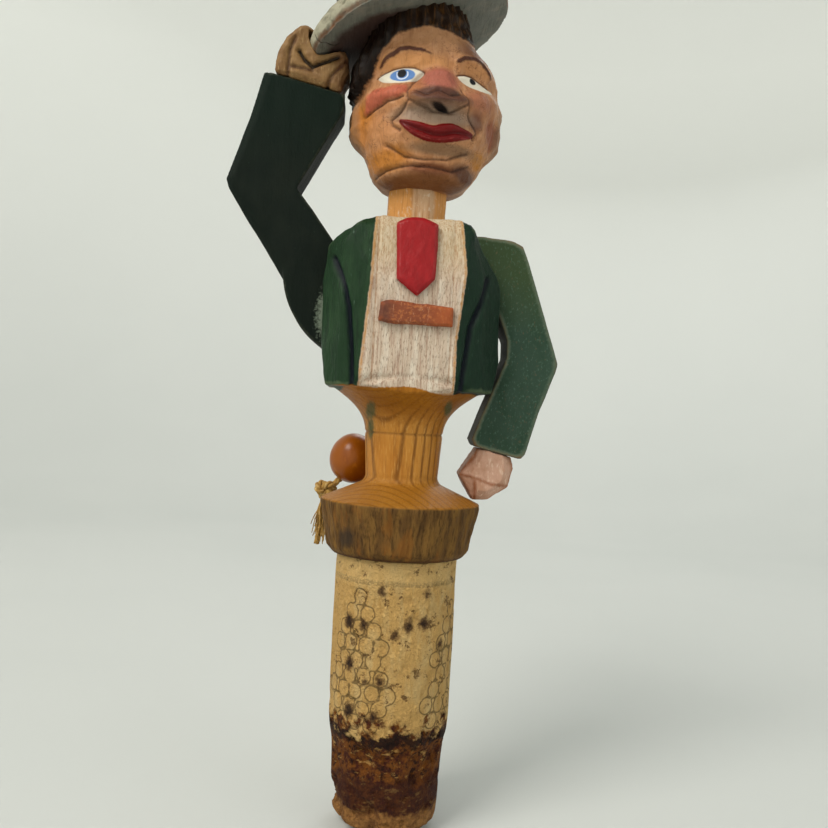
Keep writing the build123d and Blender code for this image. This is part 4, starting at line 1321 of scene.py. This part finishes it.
class STOPPER_OT_hat(bpy.types.Operator):
    """Hat: a turned bowler with a thick brim, split where the hand holds it"""

    bl_idname = "stopper.hat"
    bl_label = "Hat"

    def grain(self, tree):
        """Grain across the brim."""
        return mottle(tree, (0.35, 3.0, 0.35), detail=5.0)

    def execute(self, context):
        size = sizes()
        brim, crown, top = size.brim_radius, size.crown_radius, size.crown_height
        outline = (
            (0.6, -BRIM_HALF), (5.0, -BRIM_HALF), (10.0, -BRIM_HALF), (brim - 1.2, -BRIM_HALF - 0.02),
            (brim - 0.35, -BRIM_HALF + 0.3), (brim, -0.7), (brim, 0.6), (brim - 0.5, BRIM_HALF - 0.3),
            (brim - 1.4, BRIM_HALF), (crown + 1.2, BRIM_HALF), (crown + 0.25, BRIM_HALF + 0.25),
            (crown, BRIM_HALF + 1.2), (crown - 0.2, 5.0), (crown - 0.9, 8.4), (crown - 3.2, 11.4),
            (crown - 7.0, top - 0.35), (crown - 10.5, top), (0.6, top),
        )
        profile = curve_through(outline, 230)
        points, faces = skin(turned(profile, 340))
        radius, height = np.hypot(points[:, 0], points[:, 1]), points[:, 2].copy()
        angle = np.arctan2(points[:, 1], points[:, 0])
        out_share = smooth_step(radius, crown + 0.5, brim)
        around = turn_from(angle, np.radians(SPLIT_DEGREES))
        split = np.abs(around * radius + 0.5 * np.sin(radius * 1.4)) + 3 * (radius < 13.5)
        wobble = 0.16 * ripple(points, 6.0, 81) * smooth_step(radius, 6.0, 12.0)
        nicks = 0.35 * smooth_step(ripple(points, 2.4, 85), 0.45, 0.9) * smooth_step(radius, brim - 1.0, brim)
        rub = 0.25 * np.abs(np.sin(2.5 * angle + 1)) * smooth_step(radius, brim - 0.8, brim)
        grow = wobble - nicks - rub - 0.3 * bulge(split, 0.25) * out_share
        points[:, :2] *= 1 + (grow / np.maximum(radius, 0.1))[:, None]
        points[:, 2] += 0.1 * ripple(points, 5.0, 83) * smooth_step(radius, 8, 12) * (height < 3)
        rim_line = 0.35 * np.sin(3 * angle) + 0.2 * np.sin(8 * angle)
        marks = {
            "crown": 1.3 - height + np.where(radius > brim - 1, FAR, 0.0),
            "band": np.abs(height - 2.9) - 1.2 + FAR * (radius > crown + 0.9),
            "rim": np.maximum(brim - 0.75 - radius, -height - 0.75 + 0.3 * rim_line),
            "rim_edge": np.hypot(radius - brim + 0.3, height + 1.0 - rim_line * 0.4),
            "split": split,
            # The painted shade under the brim: a round place on the underside, a little towards the hand.
            "inside": np.hypot(points[:, 0] + 4.5, points[:, 1]) - 11.0 + FAR * (height > 0),
        }
        points = points @ np.stack(hat_axes()) + HAT_MIDDLE
        piece = build_mesh("hat_turned", points, faces, marks)
        # Oil paint on turned wood: dull, thin, and rubbed through where hands take the brim.
        material = finish("worn_grey_oil_paint", hat_colour, 0.6, self.grain, 0.12)
        dress(piece, material, "grey_hat_paint", ARM, "hat")
        return {"FINISHED"}


# ---- cord, bead, knot and frayed end ----
# The free cord's route in mm: from the bore under the coat, through bead and knot, to the frayed end.
CORD_ROUTE = (
    (1.5, 9.0, 25.0),
    (0.7, 9.6, 21.8),
    (-2.4, 10.2, 20.0),
    (-6.0, 10.0, 19.2),
    (-8.3, 9.8, 16.4),
    (-9.8, 9.8, 12.6),
    (-12.4, 10.1, 10.2),
    (-14.0, 10.3, 7.2),
    (-14.0, 10.4, 3.4),
    (-14.5, 10.4, -0.6),
)
# The bead's and the knot's places, directions and shapes; lengths in mm.
BEAD_MIDDLE, BEAD_AXIS = np.array((-8.6, 9.8, 15.6)), np.array((-0.37, -0.01, -0.93))
BEAD_RADIUS, BEAD_HALF, BEAD_BLUNTNESS = 4.3, 4.6, 0.92
KNOT_MIDDLE, KNOT_SIZE = np.array((-13.4, 10.2, 9.4)), (0.54, 0.5, 0.56)
# Where the cord opens into fibres, and a fibre's radius where it leaves the cord and at its end.
FRAY_HEIGHT = 8.6
FIBRE_RADII = (0.19, 0.08)


def cord_colour(tree):
    """Straw-coloured plant fibre, darker between the strands."""
    return layers(
        tree,
        "cord",
        (((0.3, 0.3, 0.5), 0.45, 0.65), "#8d6a34", 0.7),
        (((0.8, 0.8, 1.5), 0.55, 0.7, 4.0), "#dcc48c", 0.6),
    )


def cord_relief(tree):
    """Single fibres."""
    return mottle(tree, (0.12, 0.12, 0.6), detail=4.0)


class STOPPER_OT_cord(bpy.types.Operator):
    """Pull cord: twisted strands, a lacquered bead, an overhand knot and a frayed end"""

    bl_idname = "stopper.cord"
    bl_label = "Pull cord"

    def cord_line(self):
        """The cord's middle line: the route as a NURBS spline of order 3, read back as points in mm."""
        curve = bpy.data.curves.new("cord_line", "CURVE")
        curve.dimensions = "3D"
        curve.resolution_u = 12
        spline = curve.splines.new("NURBS")
        spline.points.add(len(CORD_ROUTE) - 1)
        for point, place in zip(spline.points, CORD_ROUTE):
            point.co = (*(number * MM for number in place), 1.0)
        spline.order_u = 3
        spline.use_endpoint_u = True
        line = new_object("cord_line", curve)
        bpy.context.view_layer.update()
        mesh = bpy.data.meshes.new_from_object(line)
        points = numbers_of(mesh.vertices, "co", 3, np.float32).astype(float) / MM
        bpy.data.objects.remove(line)
        bpy.data.meshes.remove(mesh)
        return points

    def bead_colour(self, tree):
        """Orange-brown lacquer with a dark end and wood showing through."""
        return layers(
            tree,
            "bead",
            (((2.0, 2.0, 5.0), 0.45, 0.7), "#7e3f08", 0.6),
            (((1.0, 1.0, 2.0), 0.58, 0.75, 5.0), "#c2781f", 0.5),
            (("bead_end", 0.6, 0.6, 0.2), "#3a1a05", 0.85),
        )

    def bead(self):
        """The bead: its radius is the sine of the way along, to a power below 1, so its ends are blunt."""
        way = np.linspace(0.045, np.pi - 0.045, 90)
        profile = np.stack([BEAD_RADIUS * np.sin(way) ** BEAD_BLUNTNESS, -BEAD_HALF * np.cos(way)], -1)
        points, faces = skin(turned(profile, 120))
        marks = {"bead_end": np.hypot(points[:, 0], points[:, 1])}
        points[:, :2] *= 1 + 0.015 * ripple(points, 5.0, 91)[:, None]
        axis = unit(BEAD_AXIS)
        side, up = square_to(axis)
        points = points @ np.stack([side, -up, axis]) + BEAD_MIDDLE
        piece = build_mesh("bead_lacquered", points, faces, marks)
        # Lacquer over wood: a wet, sharp highlight.
        material = finish("brown_lacquer", self.bead_colour, 0.28, gloss=0.3)
        dress(piece, material, "lacquered_bead", PULL, "cord_bead")
        return piece

    def knot(self, material):
        """The knot: a trefoil curve, sine t + 2 sine 2t by cosine t - 2 cosine 2t, wound as a rope."""
        t = np.linspace(0, 2 * np.pi, 140)
        loop = np.sin(t) + 2 * np.sin(2 * t), 1.5 * np.sin(3 * t), np.cos(t) - 2 * np.cos(2 * t)
        path = KNOT_MIDDLE + np.stack(loop, -1) * KNOT_SIZE
        points, faces = twisted(path, 3, 0.33, 2.6, 0.33)
        piece = build_mesh("overhand_knot", points, faces)
        face_outwards(piece)
        dress(piece, material, "straw_cord", PULL, "cord_knot")
        return piece

    def tail(self, line, material):
        """The frayed end: fibres that leave the cord below the knot and spread as they fall, a few astray."""
        random = np.random.default_rng(17)
        count = sizes().fibre_count
        steps = 12
        way = np.linspace(0, 1, steps)
        stretch = line[line[:, 2] < FRAY_HEIGHT]
        share = np.linspace(0, 1, len(stretch))
        middle = np.stack([np.interp(way, share, column) for column in stretch.T], -1)
        turn = random.uniform(0, 2 * np.pi, count)[:, None]
        spread = np.sqrt(random.uniform(0.02, 1.0, count))[:, None]
        length = random.uniform(0.62, 1.0, count)[:, None]
        curl = random.normal(0, 0.35, (count, 2))[:, None]
        strays = (np.arange(count) % 9 == 0)[:, None]
        open_up = (0.5 + 1.5 * way**1.3) * spread
        along = np.clip(way * length, 0, 1)
        base = np.stack([np.interp(along, way, column) for column in middle.T], -1)
        wave = 0.16 * np.sin(9 * along + 5 * turn)
        shift = np.stack(
            [
                0.75 * open_up * np.cos(turn) + wave + 0.8 * along - strays * 1.2 * along**2,
                0.8 * open_up * np.sin(turn),
                0 * along,
            ],
            -1,
        )
        paths = base + shift + np.concatenate([curl, 0 * curl[..., :1]], -1) * (along**2)[..., None]
        paths[..., 2] += strays * 1.6 * along**2
        points, faces = tubes(paths, np.linspace(*FIBRE_RADII, steps), FIBRE_SIDES)
        piece = build_mesh("frayed_end", points, faces)
        face_outwards(piece)
        dress(piece, material, "straw_cord", PULL, "frayed_tail")
        return piece

    def execute(self, context):
        line = self.cord_line()
        # Plant-fibre twine: matt and straw-coloured, three strands with dark grooves between.
        material = finish("straw_twine", cord_colour, 0.85, cord_relief, 0.06)
        radius = sizes().strand_radius
        points, faces = twisted(line, 3, radius * 0.95, 3.4, radius)
        cord = build_mesh("pull_cord_twine", points, faces)
        face_outwards(cord)
        dress(cord, material, "straw_cord", None, "pull_cord")
        pieces = [self.bead(), self.knot(material), self.tail(line, material)]
        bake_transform(cord)
        return {"FINISHED"}


# ---- wire, nails, pegs and the hidden cord ----
class STOPPER_OT_hardware(bpy.types.Operator):
    """Pin, nails, pegs and the cord inside: the CAD shapes are right and get their finishes"""

    bl_idname = "stopper.hardware"
    bl_label = "Pin, nails and pegs"

    def steel(self, tree):
        """Drawn steel wire, grey with a little brown rust."""
        return layers(tree, "#8d8c89", (((0.4, 0.4, 0.4), 0.5, 0.65), "#6a5140", 0.7))

    def dowel(self, tree):
        """Pale turned dowel with fine grain."""
        return layers(tree, "#c9a878", (((0.3, 0.3, 5.0), 0.5, 0.68), "#9c7848", 0.6))

    def dowel_grain(self, tree):
        """Grain along the dowel."""
        return mottle(tree, (0.3, 0.3, 4.0))

    def execute(self, context):
        # Steel wire: hard narrow highlights under light rust.
        steel = finish("drawn_steel_wire", self.steel, 0.35, self.dowel_grain, 0.02, Metallic=1.0)
        # Beech dowel: pale, plain and matt.
        dowel = finish("beech_dowel", self.dowel, 0.6, self.dowel_grain, 0.05)
        twine = finish("inner_twine", cord_colour, 0.85, cord_relief, 0.06)
        finishes = (
            (steel, ("arm_pin", "hip_nails", "hat_nail")),
            (dowel, ("cork_dowel", "hip_hand_peg", "raised_hand_peg")),
            (twine, ("inner_cord", "arm_cord_knot")),
        )
        for material, nodes in finishes:
            for node in nodes:
                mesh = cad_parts[node].data
                mesh.materials.clear()
                mesh.materials.append(material)
        return {"FINISHED"}


# ---- studio ----
STAGE_RADIUS, STAGE_CURVE, STAGE_HEIGHT = 0.75, 0.35, 1.1
CAMERA_DISTANCE, CAMERA_TURN, CAMERA_ROLL = 0.160, np.radians(-3.5), np.radians(3.2)
CAMERA_AIM = np.array((0.0016, 0.0, 0.0244))
# Each light: name, place and side in metres, watts, colour.
LIGHTS = (
    ("key_light", (-0.40, -0.40, 0.60), 0.36, 4.4, "#fffaf4"),
    ("fill_light", (0.48, -0.42, 0.22), 0.40, 0.5, "#f3f7ff"),
    ("back_light", (0.16, 0.50, 0.50), 0.40, 1.2, "#ffffff"),
)
SENSOR_MM, LENS_MM = 36.0, 39.652


class STOPPER_OT_studio(bpy.types.Operator):
    """Studio: a pale round backdrop, soft lights and the camera"""

    bl_idname = "stopper.studio"
    bl_label = "Studio"

    def floor_colour(self, tree):
        """Pale paper in soft clouds, painted paler where it rises into the wall: painted light, brighter
        higher up.
        """
        place = add(tree, "ShaderNodeTexCoord", out="Object")
        height = add(tree, "ShaderNodeSeparateXYZ", {0: place}, out=2)
        rise = add(tree, "ShaderNodeMapRange", {0: height, 1: -0.04, 2: 0.36})
        clouds = mottle(tree, (160, 160, 160), 0.4, 0.7, detail=2.0)
        # Painted light: the wall is painted paler than the floor.
        return layers(tree, "floor", (clouds, "#c6cac6", 0.5), (rise, "#f3f5f1"))

    def paper_relief(self, tree):
        """Tooth of the paper."""
        return mottle(tree, (0.8, 0.8, 0.8))

    def backdrop(self):
        """The floor: a disc that curves up through a quarter circle into a round wall."""
        floor_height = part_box("cork")[0][2]
        bend = np.linspace(0, np.pi / 2, 24)
        flat = STAGE_RADIUS - STAGE_CURVE
        rise = STAGE_CURVE * (1 - np.cos(bend))
        curve = np.stack([flat + STAGE_CURVE * np.sin(bend), floor_height + rise], -1)
        middle = [(0.002, floor_height), (flat / 2, floor_height)]
        profile = np.concatenate([middle, curve, [(STAGE_RADIUS, STAGE_HEIGHT)]])
        rings = turned(profile[::-1], 96)
        index, beside, quads = bands(rings)
        hub = np.stack([index[-1], beside[-1], np.full(len(index[-1]), index.size)], -1)
        points = np.concatenate([rings.reshape(-1, 3), [(0.0, 0.0, floor_height)]]) / MM
        stage = build_mesh("pale_paper_floor", points, [quads, hub])
        stage.data.materials.append(finish("pale_paper", self.floor_colour, 0.9, self.paper_relief, 0.02))

    def light(self, name, place, size, watts, tint):
        """A square soft light that faces the figure."""
        lamp = bpy.data.lights.new(name, "AREA")
        lamp.size, lamp.energy, lamp.color = size, watts, linear(tint)
        light = new_object(name, lamp)
        facing = Vector(CAMERA_AIM) - Vector(place)
        light.matrix_world = Matrix.Translation(place) @ facing.to_track_quat("-Z", "Y").to_matrix().to_4x4()
        light.visible_camera = False

    def camera(self):
        """The camera: level, turned a little and rolled a little, close enough to see under the hat."""
        level = np.array((np.cos(CAMERA_TURN), np.sin(CAMERA_TURN), 0.0))
        forward = np.array((-np.sin(CAMERA_TURN), np.cos(CAMERA_TURN), 0.0))
        upright = np.array((0.0, 0.0, 1.0))
        right = np.cos(CAMERA_ROLL) * level + np.sin(CAMERA_ROLL) * upright
        above = -np.sin(CAMERA_ROLL) * level + np.cos(CAMERA_ROLL) * upright
        lens = bpy.data.cameras.new("camera")
        lens.sensor_width, lens.lens = SENSOR_MM, LENS_MM
        lens.clip_start = 0.01
        camera = new_object("camera", lens)
        place = CAMERA_AIM - CAMERA_DISTANCE * forward
        rows = np.column_stack([right, above, -forward, place])
        camera.matrix_world = Matrix([*rows.tolist(), [0, 0, 0, 1]])
        bpy.context.scene.camera = camera

    def execute(self, context):
        scene = bpy.context.scene
        self.camera()
        self.backdrop()
        for light in LIGHTS:
            self.light(*light)
        world = bpy.data.worlds.new("studio_air")
        world.use_nodes = True
        background = world.node_tree.nodes["Background"]
        background.inputs[0].default_value = (*linear("#f2f5f6"), 1)
        background.inputs[1].default_value = 0.3
        scene.world = world
        scene.view_settings.view_transform = "Standard"
        return {"FINISHED"}


# ---- panel and registration ----
OPERATORS = (
    STOPPER_OT_studio,
    STOPPER_OT_cord,
    STOPPER_OT_cork,
    STOPPER_OT_body,
    STOPPER_OT_trim,
    STOPPER_OT_sleeves,
    STOPPER_OT_hands,
    STOPPER_OT_head,
    STOPPER_OT_hat,
    STOPPER_OT_hardware,
)


class STOPPER_PT_panel(bpy.types.Panel):
    """The pieces, their sizes and their colours"""

    bl_idname = "STOPPER_PT_panel"
    bl_label = "Bottle stopper"
    bl_space_type = "VIEW_3D"
    bl_region_type = "UI"
    bl_category = "Stopper"

    def draw(self, context):
        for operator in OPERATORS:
            self.layout.operator(operator.bl_idname)
        for group in (sizes(), colours()):
            box = self.layout.box()
            for name in group.__annotations__:
                box.prop(group, name)


CLASSES = (StopperSizes, StopperColours, *OPERATORS, STOPPER_PT_panel)


def register():
    """Registers the classes and hangs the sizes and colours on the scene."""
    for one in CLASSES:
        bpy.utils.register_class(one)
    bpy.types.Scene.stopper_sizes = PointerProperty(type=StopperSizes)
    bpy.types.Scene.stopper_colours = PointerProperty(type=StopperColours)


def unregister():
    """Undoes register."""
    del bpy.types.Scene.stopper_colours
    del bpy.types.Scene.stopper_sizes
    for one in reversed(CLASSES):
        bpy.utils.unregister_class(one)


def main():
    """Builds everything in order."""
    register()
    for operator in OPERATORS:
        group, name = operator.bl_idname.split(".")
        getattr(getattr(bpy.ops, group), name)()


if __name__ == "__main__":
    main()
